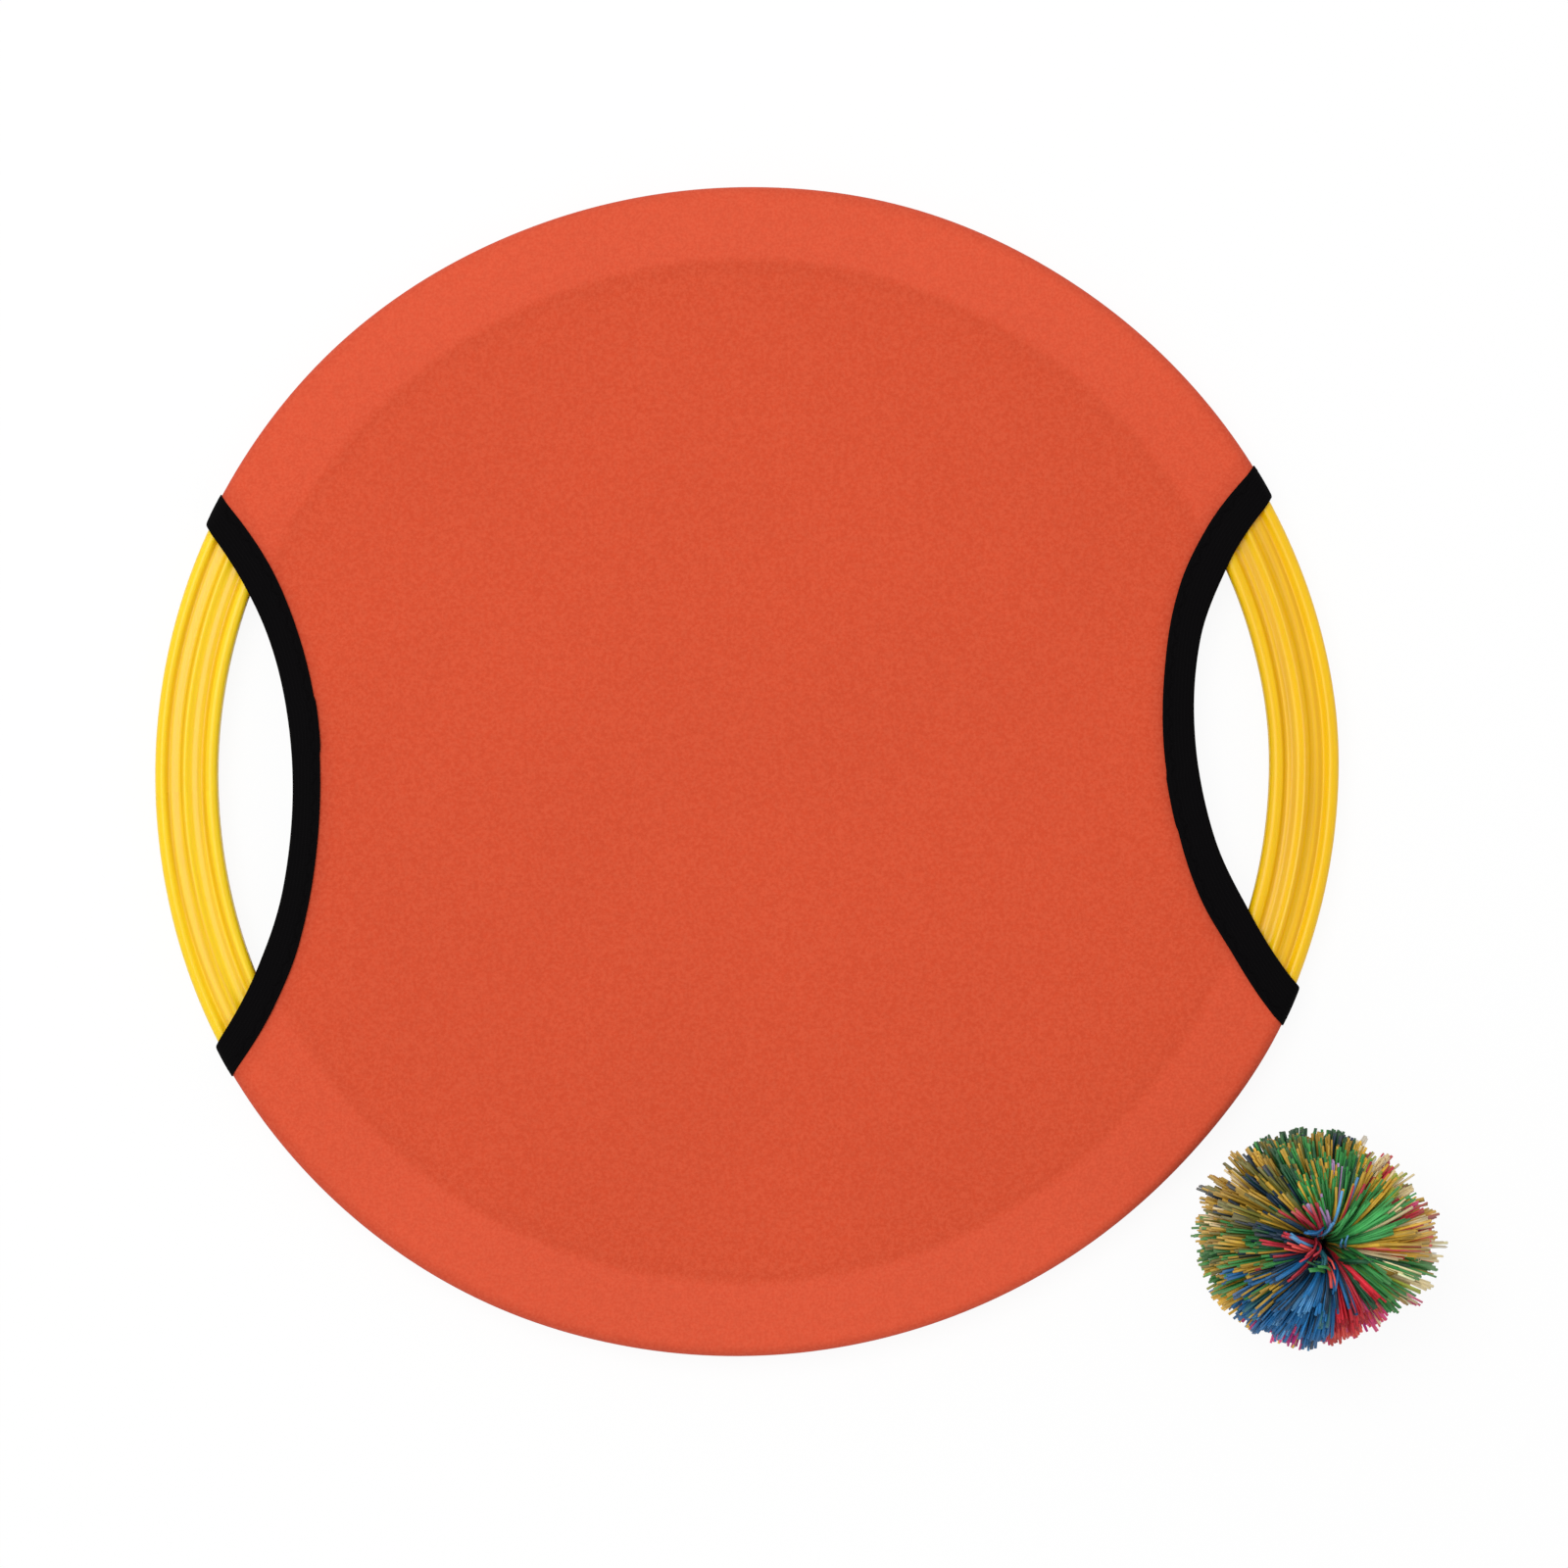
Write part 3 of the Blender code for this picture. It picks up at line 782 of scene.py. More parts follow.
@dataclass(frozen=True)
class Stamp:
    """A small mesh that was modelled once, with its length along X from 0 to 1, ready to be laid in rows."""

    points: np.ndarray
    faces: list[list[int]]

    @classmethod
    def take(cls, piece: bpy.types.Object) -> "Stamp":
        """Keep a piece's mesh as a stamp and remove the piece."""
        points = np.array([tuple(vert.co) for vert in piece.data.vertices])
        faces = [list(face.vertices) for face in piece.data.polygons]
        bpy.data.objects.remove(piece, do_unlink=True)
        return cls(points, faces)

    def lay(self, name: str, places: np.ndarray, tones: Optional[np.ndarray] = None) -> bpy.types.Object:
        """Lay copies of the stamp into one mesh.

        Args:
            name: The piece's name.
            places: The place of each of the stamp's points, as copies by points by three.
            tones: The linear colour of each copy, kept as the attribute strand_tone.

        Returns:
            The new piece.
        """
        copies, points = places.shape[:2]
        sizes = np.array([len(face) for face in self.faces], dtype=np.int32)
        corners = np.concatenate([np.array(face, dtype=np.int32) for face in self.faces])
        offsets = (np.arange(copies, dtype=np.int32) * points)[:, None]
        mesh = bpy.data.meshes.new(name)
        mesh.vertices.add(copies * points)
        mesh.vertices.foreach_set("co", places.ravel())
        mesh.loops.add(copies * len(corners))
        mesh.loops.foreach_set("vertex_index", (corners[None, :] + offsets).astype(np.int32).ravel())
        mesh.polygons.add(copies * len(sizes))
        totals = np.tile(sizes, copies)
        firsts = np.concatenate([[0], np.cumsum(totals)[:-1]])
        mesh.polygons.foreach_set("loop_start", firsts.astype(np.int32))
        mesh.update(calc_edges=True)
        if tones is not None:
            layer = mesh.color_attributes.new("strand_tone", 'FLOAT_COLOR', 'POINT')
            layer.data.foreach_set("color", np.repeat(tones, points, axis=0).ravel().astype(np.float32))
        piece = bpy.data.objects.new(name, mesh)
        bpy.context.scene.collection.objects.link(piece)
        return piece


@dataclass(frozen=True)
class Opening:
    """One hand opening: the arc that the stretched cover's edge takes, and the tape on it.

    Angles and places are as the opening's own side sees them, with the X axis running outward. A share
    runs along the arc from -1 at the near rim to 1 at the far rim. edge_drift says how far the edge strays
    from the true arc at nine even stops, and tape_widths how wide the tape is there.
    """

    side: Side
    arc_radius: float
    slant: float
    edge_drift: tuple[float, ...]
    tape_widths: tuple[float, ...]
    centre: float
    rim: float
    cut_margin: float

    def edge_radius(self, share: float) -> float:
        """Return the edge's distance from the opening's centre."""
        return self.arc_radius + float(smooth_line(EVEN_STOPS, self.edge_drift, share))

    def tape_width(self, share: float) -> float:
        """Return the tape's width on the cover."""
        return float(smooth_line(EVEN_STOPS, self.tape_widths, share))

    def cut_radius(self, share: float) -> float:
        """Return how far from the opening's centre the cover is cut away, under the tape's fold."""
        return self.edge_radius(share) + self.cut_margin

    def turned(self, x: float, y: float) -> tuple[float, float]:
        """Turn a place beside the opening's own axis into the paddle's frame."""
        across = x * math.cos(self.slant) - y * math.sin(self.slant)
        return self.side.value * across, x * math.sin(self.slant) + y * math.cos(self.slant)

    def reach(self, radius: float, arc_radius: float) -> float:
        """Find where an arc crosses a radius.

        Args:
            radius: Distance from the paddle's middle.
            arc_radius: Radius of the arc about the opening's centre.

        Returns:
            The angle from the opening's own axis, seen from the paddle's middle.
        """
        share = (radius ** 2 + self.centre ** 2 - arc_radius ** 2) / (2 * radius * self.centre)
        return math.acos(share)

    def corner(self, radius: float, arc_radius: float, half: Reach) -> float:
        """Return the angle from the X axis at which an arc crosses a radius on one half."""
        return self.reach(radius, arc_radius) + half.value * self.slant

    def half_sweep(self, arc_radius: float) -> float:
        """Return half the angle, seen from the opening's centre, that an arc spans on the flat."""
        return math.asin(self.rim * math.sin(self.reach(self.rim, arc_radius)) / arc_radius)

    def cut_distance(self, angle: float) -> float:
        """Return how far a ray at an angle from the X axis runs from the middle to the cut."""
        aside = angle - self.slant
        share = 0.0
        distance = 0.0
        for _ in range(5):
            radius = self.cut_radius(share)
            half_chord = math.sqrt(radius ** 2 - (self.centre * math.sin(aside)) ** 2)
            distance = self.centre * math.cos(aside) - half_chord
            sweep = math.atan2(distance * math.sin(aside), self.centre - distance * math.cos(aside))
            share = max(-1.0, min(1.0, sweep / self.half_sweep(radius)))
        return distance


@dataclass(frozen=True)
class PaddleSizes:
    """The sizes that the paddle's pieces share."""

    touch_gap: float = 0.0003
    outer_radius: float = 0.1495
    ring_width: float = 0.017
    ring_height: float = 0.009
    edge_round: float = 0.002
    drawn_in: float = 0.986
    cover_thickness: float = 0.0005
    tape_thickness: float = 0.0006
    hand_room: float = 0.0185
    right_arc: tuple[float, float] = (0.0992, math.radians(1.6))
    right_drift: tuple[float, ...] = (0.00105, 0.0, -0.00055, -0.00073, -0.00055, -0.00015, 0.0001, -0.0003,
                                      -0.00166)
    right_widths: tuple[float, ...] = (0.0099, 0.00915, 0.009, 0.0084, 0.0082, 0.008, 0.0086, 0.009, 0.00845)
    left_arc: tuple[float, float] = (0.1220, math.radians(0.8))
    left_drift: tuple[float, ...] = (-0.0004, 0.00003, -0.0002, -0.00042, -0.00035, -0.00012, 0.0001, -0.0003,
                                     -0.00113)
    left_widths: tuple[float, ...] = (0.0077, 0.0079, 0.0074, 0.0071, 0.0071, 0.0075, 0.0076, 0.008, 0.0077)
    width_change: float = 0.00088
    out_of_round: tuple[tuple[float, float], ...] = (
        (-30, 0.0008), (-18, 0.00095), (-6, 0.0012), (3, 0.00145), (12, 0.0012), (24, 0.0008), (36, 0.00055),
        (54, 0.0004), (72, 0.0006), (88, 0.0), (108, -0.0002), (132, 0.0003), (150, 0.0), (186, 0.0001),
        (204, 0.0009), (220, 0.0012), (242, 0.0012), (258, 0.0005), (272, 0.0), (300, -0.0004),
        (318, -0.0001),
    )
    pull_start: float = 0.012
    pull_ease: float = 0.011
    lap_length: float = 0.012
    lap_ease: float = 0.0016
    lap_shift: float = 0.013
    lap_rise: float = 0.0003
    lap_spread: float = 0.0003
    cover_dip: float = 0.0003
    cover_dip_length: float = 0.006

    @property
    def inner_radius(self) -> float:
        """Radius of the ring's inner side."""
        return self.outer_radius - self.ring_width

    @property
    def flat_radius(self) -> float:
        """Radius at which the ring's outer rounding starts."""
        return self.outer_radius - self.edge_round

    @property
    def ring_middle(self) -> float:
        """Height of the ring's mid plane."""
        return self.cover_thickness + self.touch_gap + self.ring_height / 2

    @property
    def cover_out(self) -> float:
        """How far the cover's outer face stands off the ring."""
        return self.touch_gap + self.cover_thickness

    @property
    def tape_in(self) -> float:
        """How far the tape's under face stands off the ring."""
        return self.cover_out + self.touch_gap

    @property
    def tape_out(self) -> float:
        """How far the tape's outer face stands off the ring."""
        return self.tape_in + self.tape_thickness

    @property
    def rest_level(self) -> float:
        """Height of the floor that the tapes and the ball lie on."""
        return self.cover_thickness + self.touch_gap - self.tape_out

    @property
    def openings(self) -> tuple[Opening, Opening]:
        """The right and the left hand opening."""
        made = []
        for side, arc, drift, widths in ((Side.RIGHT, self.right_arc, self.right_drift, self.right_widths),
                                         (Side.LEFT, self.left_arc, self.left_drift, self.left_widths)):
            centre = self.inner_radius - self.hand_room + arc[0]
            made.append(Opening(side, *arc, drift, widths, centre, self.flat_radius,
                                self.tape_thickness + self.touch_gap))
        return made[0], made[1]

    def settle(self, piece: bpy.types.Object) -> bpy.types.Object:
        """Bring a piece from the true round to the shape that the ring takes under the cover's pull.

        Args:
            piece: A finished piece of the paddle.

        Returns:
            The same piece.
        """
        count = len(piece.data.vertices)
        places = np.empty(count * 3)
        piece.data.vertices.foreach_get("co", places)
        places = places.reshape(count, 3)
        radius = np.hypot(places[:, 0], places[:, 1] / self.drawn_in)
        angle = np.degrees(np.arctan2(places[:, 1] / self.drawn_in, places[:, 0]))
        marks, strays = zip(*self.out_of_round)
        angle = (angle - marks[0]) % 360 + marks[0]
        stray = smooth_line((marks[-1] - 360, *marks, marks[0] + 360, marks[1] + 360),
                            (strays[-1], *strays, strays[0], strays[1]), angle)
        stray = stray * smooth_step((radius - self.inner_radius + self.pull_start) / self.pull_ease)
        places[:, :2] *= (1 + stray / np.maximum(radius, 0.01))[:, None]
        piece.data.vertices.foreach_set("co", places.ravel())
        piece.data.update()
        return piece

    def rim_point(self, offset: float, turn: float) -> tuple[float, float]:
        """Follow the ring's outer hull at a distance.

        Args:
            offset: How far the point stands off the ring.
            turn: A right angle where the flat face ends, 0 where the rim stands upright.

        Returns:
            Radius and height above the ring's mid plane.
        """
        reach = self.edge_round + offset
        upright = self.ring_height / 2 - self.edge_round
        return self.flat_radius + reach * math.cos(turn), upright + reach * math.sin(turn)

    def dip(self, radius: np.ndarray | float) -> np.ndarray | float:
        """Return how far the taut cover lies below the ring's crest, inside the ring."""
        return self.cover_dip * smooth_step((self.inner_radius + 0.001 - radius) / self.cover_dip_length)


@dataclass
class RingFrame:
    """The moulded ring, with three rounded beads on each face and a parting line round both sides."""

    sizes: PaddleSizes
    finish: MouldedPlastic
    steps: int = 288
    parting_rise: float = 0.00012
    parting_half: float = 0.0002
    draft: float = 0.001
    draft_start: float = 0.8
    draft_ease: float = 0.15
    crest_line: tuple[tuple[float, float], ...] = (
        (0.1176, 0.0), (0.155, 0.00018), (0.19, 0.00085), (0.22, 0.00125), (0.25, 0.00112), (0.32, 0.00104),
        (0.38, 0.00102), (0.405, 0.0008), (0.44, 0.00018), (0.475, 0.0), (0.51, 0.00012), (0.55, 0.00062),
        (0.58, 0.00084), (0.63, 0.0009), (0.675, 0.00096), (0.705, 0.00118), (0.735, 0.00132),
        (0.765, 0.00115), (0.80, 0.0005), (0.84, 0.0001), (0.8824, 0.0),
    )

    def upper_outline(self) -> list[tuple[float, float]]:
        """Draw the upper half of the ring's section.

        Returns:
            Points from the outer to the inner side, as distance from the outer side and height.
        """
        size = self.sizes
        crest = size.ring_height / 2
        turns = [math.pi / 2 * step / 7 for step in range(7)]
        rise = [(size.edge_round * (1 - math.cos(turn)), crest - size.edge_round * (1 - math.sin(turn)))
                for turn in turns]
        shares, depths = zip(*self.crest_line)
        fine = np.linspace(shares[0], shares[-1], 64)
        depth = np.maximum(smooth_line(shares, depths, fine), 0.0)
        face = [(share * size.ring_width, crest - drop) for share, drop in zip(fine, depth)]
        fall = [(size.ring_width - across, height) for across, height in reversed(rise)]
        return rise + face + fall

    def section(self) -> list[tuple[float, float]]:
        """Return the whole section as a closed chain of (radius, height) points."""
        size = self.sizes
        upper = self.upper_outline()
        lower = [(across, -height) for across, height in reversed(upper)]
        ridge = self.parting_rise
        half = self.parting_half
        inner_line = [(size.ring_width, half), (size.ring_width + ridge, 0.0), (size.ring_width, -half)]
        outer_line = [(0.0, -half), (-ridge, 0.0), (0.0, half)]
        chain = upper + inner_line + lower + outer_line
        section = []
        for across, height in chain:
            slope = float(smooth_step((across / size.ring_width - self.draft_start) / self.draft_ease))
            across -= self.draft * slope * (0.5 - height / size.ring_height)
            section.append((size.outer_radius - across, size.ring_middle + height))
        return section

    def build(self) -> bpy.types.Object:
        """Spin the section, widen it towards the right and draw the ring in to its oval."""
        piece = spun("moulded_ring", self.section(), self.steps)
        size = self.sizes
        for vert in piece.data.vertices:
            x, y, _ = vert.co
            radius = math.hypot(x, y)
            inward = (size.outer_radius - radius) / size.ring_width
            scale = 1 - size.width_change * (x / radius) * inward / radius
            vert.co.x *= scale
            vert.co.y *= scale * size.drawn_in
        shade(piece, 50)
        dress(piece, self.finish.material(), "yellow_plastic", "ring_frame")
        return size.settle(piece)


@dataclass
class StretchCover:
    """One half of the knit sleeve: a taut sheet whose edge is turned round the ring to the rim's seam."""

    sizes: PaddleSizes
    face: Face
    finish: StretchKnit
    ray_steps: int = 40
    rim_steps: int = 110
    ring_steps: int = 70
    turn_steps: int = 10
    ray_spacing: float = 0.85
    panel_places: tuple[str, ...] = ("", "_right", "_left", "_inner_far", "_inner_near", "_far", "_near")

    def columns(self) -> list[tuple[Union[Opening, Reach], float]]:
        """List the sheet's rays from the middle, once round.

        Returns:
            For each ray the opening or the half of the rim that it meets, and its share along that stretch.
        """
        right, left = self.sizes.openings
        rays: list[tuple[Union[Opening, Reach], float]] = []
        for stretch, steps in ((right, self.ray_steps), (Reach.FAR, self.rim_steps), (left, self.ray_steps),
                               (Reach.NEAR, self.rim_steps)):
            rays += [(stretch, step / steps) for step in range(steps)]
        rays.append((Reach.NEAR, 1.0))
        return rays

    def opening_ray(self, opening: Opening, share: float) -> tuple[np.ndarray, np.ndarray, np.ndarray]:
        """Lay a ray that ends at an opening's cut.

        Args:
            opening: The hand opening.
            share: Where the ray lies along the cut, counted the same way round on both sides.

        Returns:
            The radii, angles and heights of the ray's points.
        """
        size = self.sizes
        near, far = (opening.corner(size.flat_radius, opening.cut_radius(half.value), half)
                     for half in (Reach.NEAR, Reach.FAR))
        along = share if opening.side is Side.RIGHT else 1 - share
        angle = -near + (near + far) * along
        reach = opening.cut_distance(angle)
        steps = np.linspace(0.0, 1.0, self.ring_steps + 1) ** self.ray_spacing
        radii = np.concatenate([steps * reach, np.full(self.turn_steps + 1, reach)])
        turned = angle if opening.side is Side.RIGHT else math.pi - angle
        return radii, np.full(len(radii), turned), np.full(len(radii), size.ring_height / 2 + size.cover_out)

    def rim_ray(self, half: Reach, share: float) -> tuple[np.ndarray, np.ndarray, np.ndarray]:
        """Lay a ray that runs over the rim to the seam.

        Args:
            half: The far or the near rim.
            share: Where the ray lies along the rim, counted the same way round on both.

        Returns:
            The radii, angles and heights of the ray's points.
        """
        size = self.sizes
        turns = [math.pi / 2 * (1 - step / self.turn_steps) for step in range(1, self.turn_steps + 1)]
        edge = [size.rim_point(size.cover_out, turn) for turn in turns]
        edge.append((edge[-1][0], size.touch_gap / 2))
        steps = np.linspace(0.0, 1.0, self.ring_steps + 1) ** self.ray_spacing
        radii = np.concatenate([steps * size.flat_radius, [radius for radius, _ in edge]])
        crest = size.ring_height / 2 + size.cover_out
        heights = np.concatenate([np.full(len(steps), crest), [height for _, height in edge]])
        right, left = size.openings
        along = share if half is Reach.FAR else 1 - share
        angles = []
        for radius in radii:
            out = max(radius, size.flat_radius)
            start = right.corner(out, right.cut_radius(half.value), half)
            end = math.pi - left.corner(out, left.cut_radius(half.value), half)
            angles.append(half.value * (start + (end - start) * along))
        return radii, np.array(angles), heights

    def ray(self, stretch: Union[Opening, Reach], share: float) -> tuple[np.ndarray, np.ndarray]:
        """Lay one ray of the sheet.

        Args:
            stretch: The opening or the half of the rim that it meets.
            share: Where it lies along that stretch.

        Returns:
            The ray's points and their places on the flat pattern.
        """
        size = self.sizes
        up = self.face.value
        if isinstance(stretch, Opening):
            radii, angles, heights = self.opening_ray(stretch, share)
        else:
            radii, angles, heights = self.rim_ray(stretch, share)
        walked = np.hypot(np.diff(radii), np.diff(heights))
        lengths = np.concatenate([[0.0], np.cumsum(walked)])
        heights = heights - size.dip(radii)
        x = radii * np.cos(angles)
        y = radii * np.sin(angles) * size.drawn_in
        z = size.ring_middle + up * heights
        flat = np.stack([lengths * np.cos(angles), lengths * np.sin(angles) * size.drawn_in], axis=1)
        return np.stack([x, y, z], axis=1), flat

    def build(self) -> bpy.types.Object:
        """Lay the sheet as a grid of rays, close it in the middle and give it its thickness."""
        half = self.face.name.lower()
        rays = [self.ray(*ray) for ray in self.columns()]
        points = np.stack([place for place, _ in rays])
        flat = np.stack([pattern for _, pattern in rays])
        piece = laid_grid(f"{half}_cover", points, flat)
        close_up(piece)
        lean = sum(face.normal.z * face.area for face in piece.data.polygons)
        if lean * self.face.value < 0:
            edit_all(piece)
            bpy.ops.mesh.flip_normals()
        apply_modifier(piece, 'SOLIDIFY', thickness=self.sizes.cover_thickness, offset=-1.0,
                       use_even_offset=True)
        shade(piece, 40)
        nodes = [f"{half}_panel{place}" for place in self.panel_places]
        nodes += [f"{half}_edge_{place}" for place in ("far", "near")]
        dress(piece, self.finish.material(self.sizes), "orange_knit", *nodes)
        return self.sizes.settle(piece)


@dataclass(frozen=True)
class TapeStop:
    """One stop along a tape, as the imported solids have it."""

    face: int
    share: float
    turn: float


@dataclass
class EdgeTape:
    """A closed loop of elastic tape, folded over the cover's cut edge round one hand opening.

    hold_start and hold_ease say where the tape begins to lie over the ring, and ring_leg and lining how long
    and how near the ring its inner leg is there. length_point is the point of the outline whose way round the
    loop gives the flat pattern's length.
    """

    sizes: PaddleSizes
    opening: Opening
    finish: RibbedElastic
    thread: SewingThread
    arc_steps: int = 132
    corner_steps: int = 10
    inner_leg: float = 0.0046
    crown: float = 0.00012
    rim_hug: float = 0.55
    hold_start: float = 0.0065
    hold_ease: float = 0.005
    ring_leg: float = 0.0006
    lining: float = 0.00012
    leg_share: float = 0.98
    length_point: int = 14
    stitch_pitch: float = 0.0026
    stitch_swing: float = 0.0007
    stitch_inset: float = 0.0017
    stitch_sink: float = 0.00012
    thread_radius: float = 0.0002

    def stops(self) -> list[TapeStop]:
        """List the stops once round the tape: front, far rim, back, near rim."""
        flat = math.pi / 2
        shares = [2 * step / self.arc_steps - 1 for step in range(self.arc_steps + 1)]
        falling = [flat * (1 - step / self.corner_steps) for step in range(1, self.corner_steps + 1)]
        rim: list[TapeStop] = []
        for share, faces in ((1, (1, -1)), (-1, (-1, 1))):
            rim.append([TapeStop(faces[0], share, turn) for turn in falling]
                       + [TapeStop(faces[1], share, turn) for turn in reversed(falling)])
        front = [TapeStop(1, share, flat) for share in shares]
        back = [TapeStop(-1, share, flat) for share in reversed(shares)]
        return front + rim[0] + back + rim[1]

    def place(self, stop: TapeStop, arc_radius: float, offset: float) -> tuple[float, float, float]:
        """Find a point of the tape.

        Args:
            stop: The stop along the tape.
            arc_radius: Distance from the opening's centre.
            offset: How far the point stands off the ring.

        Returns:
            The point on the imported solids' frame.
        """
        size = self.sizes
        hug = 1 - self.rim_hug * float(smooth_step((abs(stop.share) - 0.8) / 0.2))
        radius, height = size.rim_point(size.cover_out + (offset - size.cover_out) * hug, stop.turn)
        if abs(stop.share) < 1:
            angle = self.opening.half_sweep(arc_radius) * stop.share
            x = self.opening.centre - arc_radius * math.cos(angle)
            y = arc_radius * math.sin(angle)
            height -= float(size.dip(math.hypot(x, y)))
        else:
            angle = self.opening.reach(radius, arc_radius) * stop.share
            x = radius * math.cos(angle)
            y = radius * math.sin(angle)
        x, y = self.opening.turned(x, y)
        return x, y * size.drawn_in, size.ring_middle + stop.face * height

    def lap(self, stop: TapeStop) -> float:
        """Return 1 where the tape's two ends lap on the front, eased to 0 beside it."""
        if stop.face < 0 or abs(stop.share) == 1:
            return 0.0
        size = self.sizes
        edge = self.opening.arc_radius
        along = self.opening.half_sweep(edge) * stop.share * edge + self.opening.side.value * size.lap_shift
        return float(smooth_step(((size.lap_length + size.lap_ease) / 2 - abs(along)) / size.lap_ease))

    def over_ring(self, stop: TapeStop) -> float:
        """Return 0 where the tape spans the open middle, eased to 1 where it lies over the ring."""
        x, y, _ = self.place(TapeStop(stop.face, stop.share, math.pi / 2), self.opening.arc_radius, 0.0)
        radius = math.hypot(x, y / self.sizes.drawn_in)
        return float(smooth_step((radius - self.sizes.inner_radius + self.hold_start) / self.hold_ease))

    def outline(self, stop: TapeStop) -> list[tuple[float, float]]:
        """Draw the folded tape's section at one stop.

        Args:
            stop: The stop along the tape.

        Returns:
            A closed chain of (arc radius, offset) points that starts at the outer leg's far edge.
        """
        size = self.sizes
        lap = self.lap(stop)
        tight = self.over_ring(stop)
        thick = size.tape_thickness
        edge = self.opening.edge_radius(stop.share)
        far = edge + self.opening.tape_width(stop.share) + size.lap_spread * lap
        top = size.tape_out + size.lap_rise * lap
        low = -thick * (1 - tight) + self.lining * tight
        leg = self.inner_leg * (1 - tight) + self.ring_leg * tight
        middle = (top + low) / 2
        half = (top - low) / 2
        wall = thick * self.leg_share
        crown = self.crown if stop.face > 0 else 0.0
        bend = [math.pi / 2 * step / 5 for step in range(-5, 6)]
        start = edge + half
        outer_far = [(far - thick / 2 + thick / 2 * math.cos(turn), size.tape_in + (top - size.tape_in) / 2
                      + (top - size.tape_in) / 2 * math.sin(turn)) for turn in bend]
        shares = np.linspace(0.0, 1.0, 11)[1:-1]
        outer_face = [(far - thick / 2 + (start - far + thick / 2) * share,
                       top + crown * math.sin(math.pi * share)) for share in shares]
        fold = [(start - half * math.cos(turn), middle + half * math.sin(turn)) for turn in reversed(bend)]
        inner_far = edge + half + leg
        low_face = [(start + leg * share, low) for share in (0.35, 0.7)]
        low_end = [(inner_far, low), (inner_far + thick / 3, low + wall / 2), (inner_far, low + wall)]
        high_face = [(start + leg * share, low + wall) for share in (0.7, 0.35)]
        inner_half = half - wall
        inner_fold = [(start - inner_half * math.cos(turn), middle + inner_half * math.sin(turn))
                      for turn in bend[::2]]
        under = [(start + (far - thick / 2 - start) * share, size.tape_in) for share in (0.25, 0.5, 0.75)]
        return outer_far + outer_face + fold + low_face + low_end + high_face + inner_fold + under

    def build(self) -> bpy.types.Object:
        """Lay a grid round the loop and close it on itself."""
        side = self.opening.side.name.lower()
        stops = self.stops()
        rings = []
        pattern = []
        walked = 0.0
        last: Optional[np.ndarray] = None
        for stop in stops + stops[:1]:
            outline = self.outline(stop)
            outline.append(outline[0])
            ring = np.array([self.place(stop, arc, offset) for arc, offset in outline])
            if last is not None:
                walked += float(np.linalg.norm(ring[self.length_point] - last))
            last = ring[self.length_point]
            steps = np.hypot(*np.diff(np.array(outline), axis=0).T)
            across = np.concatenate([[0.0], np.cumsum(steps)])
            rings.append(ring)
            pattern.append(np.stack([np.full(len(across), walked), across], axis=1))
        piece = laid_grid(f"{side}_tape", np.stack(rings), np.stack(pattern))
        close_up(piece)
        shade(piece, 60)
        dress(piece, self.finish.material(), "black_elastic", f"{side}_binding")
        return self.sizes.settle(piece)

    def stitch(self, stamp: Stamp) -> bpy.types.Object:
        """Sew a zigzag row near the tape's edge on the cover.

        Args:
            stamp: One stitch.

        Returns:
            All the stitches of this tape as one piece.
        """
        stops = self.stops()
        line = []
        for swing in (-1, 1):
            row = []
            for stop in stops + stops[:1]:
                arc = self.opening.edge_radius(stop.share) + self.opening.tape_width(stop.share)
                arc += swing * self.stitch_swing - self.stitch_inset
                sunk = self.crown * 0.6 if stop.face > 0 else -self.stitch_sink
                top = self.sizes.tape_out + self.sizes.lap_rise * self.lap(stop) + sunk
                row.append(self.place(stop, arc, top))
            line.append(np.array(row))
        middle = (line[0] + line[1]) / 2
        lengths = np.concatenate([[0.0], np.cumsum(np.linalg.norm(np.diff(middle, axis=0), axis=1))])
        count = 2 * round(lengths[-1] / self.stitch_pitch / 2)
        marks = np.arange(count + 1) * lengths[-1] / count

        def spaced(row: np.ndarray) -> np.ndarray:
            """Return a row's values at the stitches' ends."""
            return np.stack([np.interp(marks, lengths, row[:, axis]) for axis in range(3)], axis=1)

        knots = [spaced(row) for row in line]
        ends = np.array([knots[mark % 2][mark] for mark in range(count + 1)])
        out = spaced(np.cross(np.gradient(middle, axis=0), line[1] - line[0])) * self.opening.side.value
        places = lay_between(stamp, ends[:-1], ends[1:], out[:-1], self.thread_radius)
        piece = stamp.lay(f"{self.opening.side.name.lower()}_tape_stitches", places)
        shade(piece, 60)
        dress(piece, self.thread.material(), "black_elastic")
        return self.sizes.settle(piece)


def lay_between(stamp: Stamp, starts: np.ndarray, ends: np.ndarray, out: np.ndarray,
                radius: float) -> np.ndarray:
    """Place a stitch between each pair of points.

    Args:
        stamp: The stitch, one unit long along X and two units wide.
        starts: Where each stitch starts.
        ends: Where each stitch ends.
        out: Roughly which way each stitch faces.
        radius: Half the thread's width.

    Returns:
        The places of the stamp's points for every copy.
    """
    along = ends - starts
    way = unit(along)
    out = square_to(out, way)
    aside = np.cross(out, way)
    x, y, z = stamp.points.T
    reach = starts[:, None] + along[:, None] * x[None, :, None]
    return reach + aside[:, None] * (y * radius)[None, :, None] + out[:, None] * (z * radius)[None, :, None]


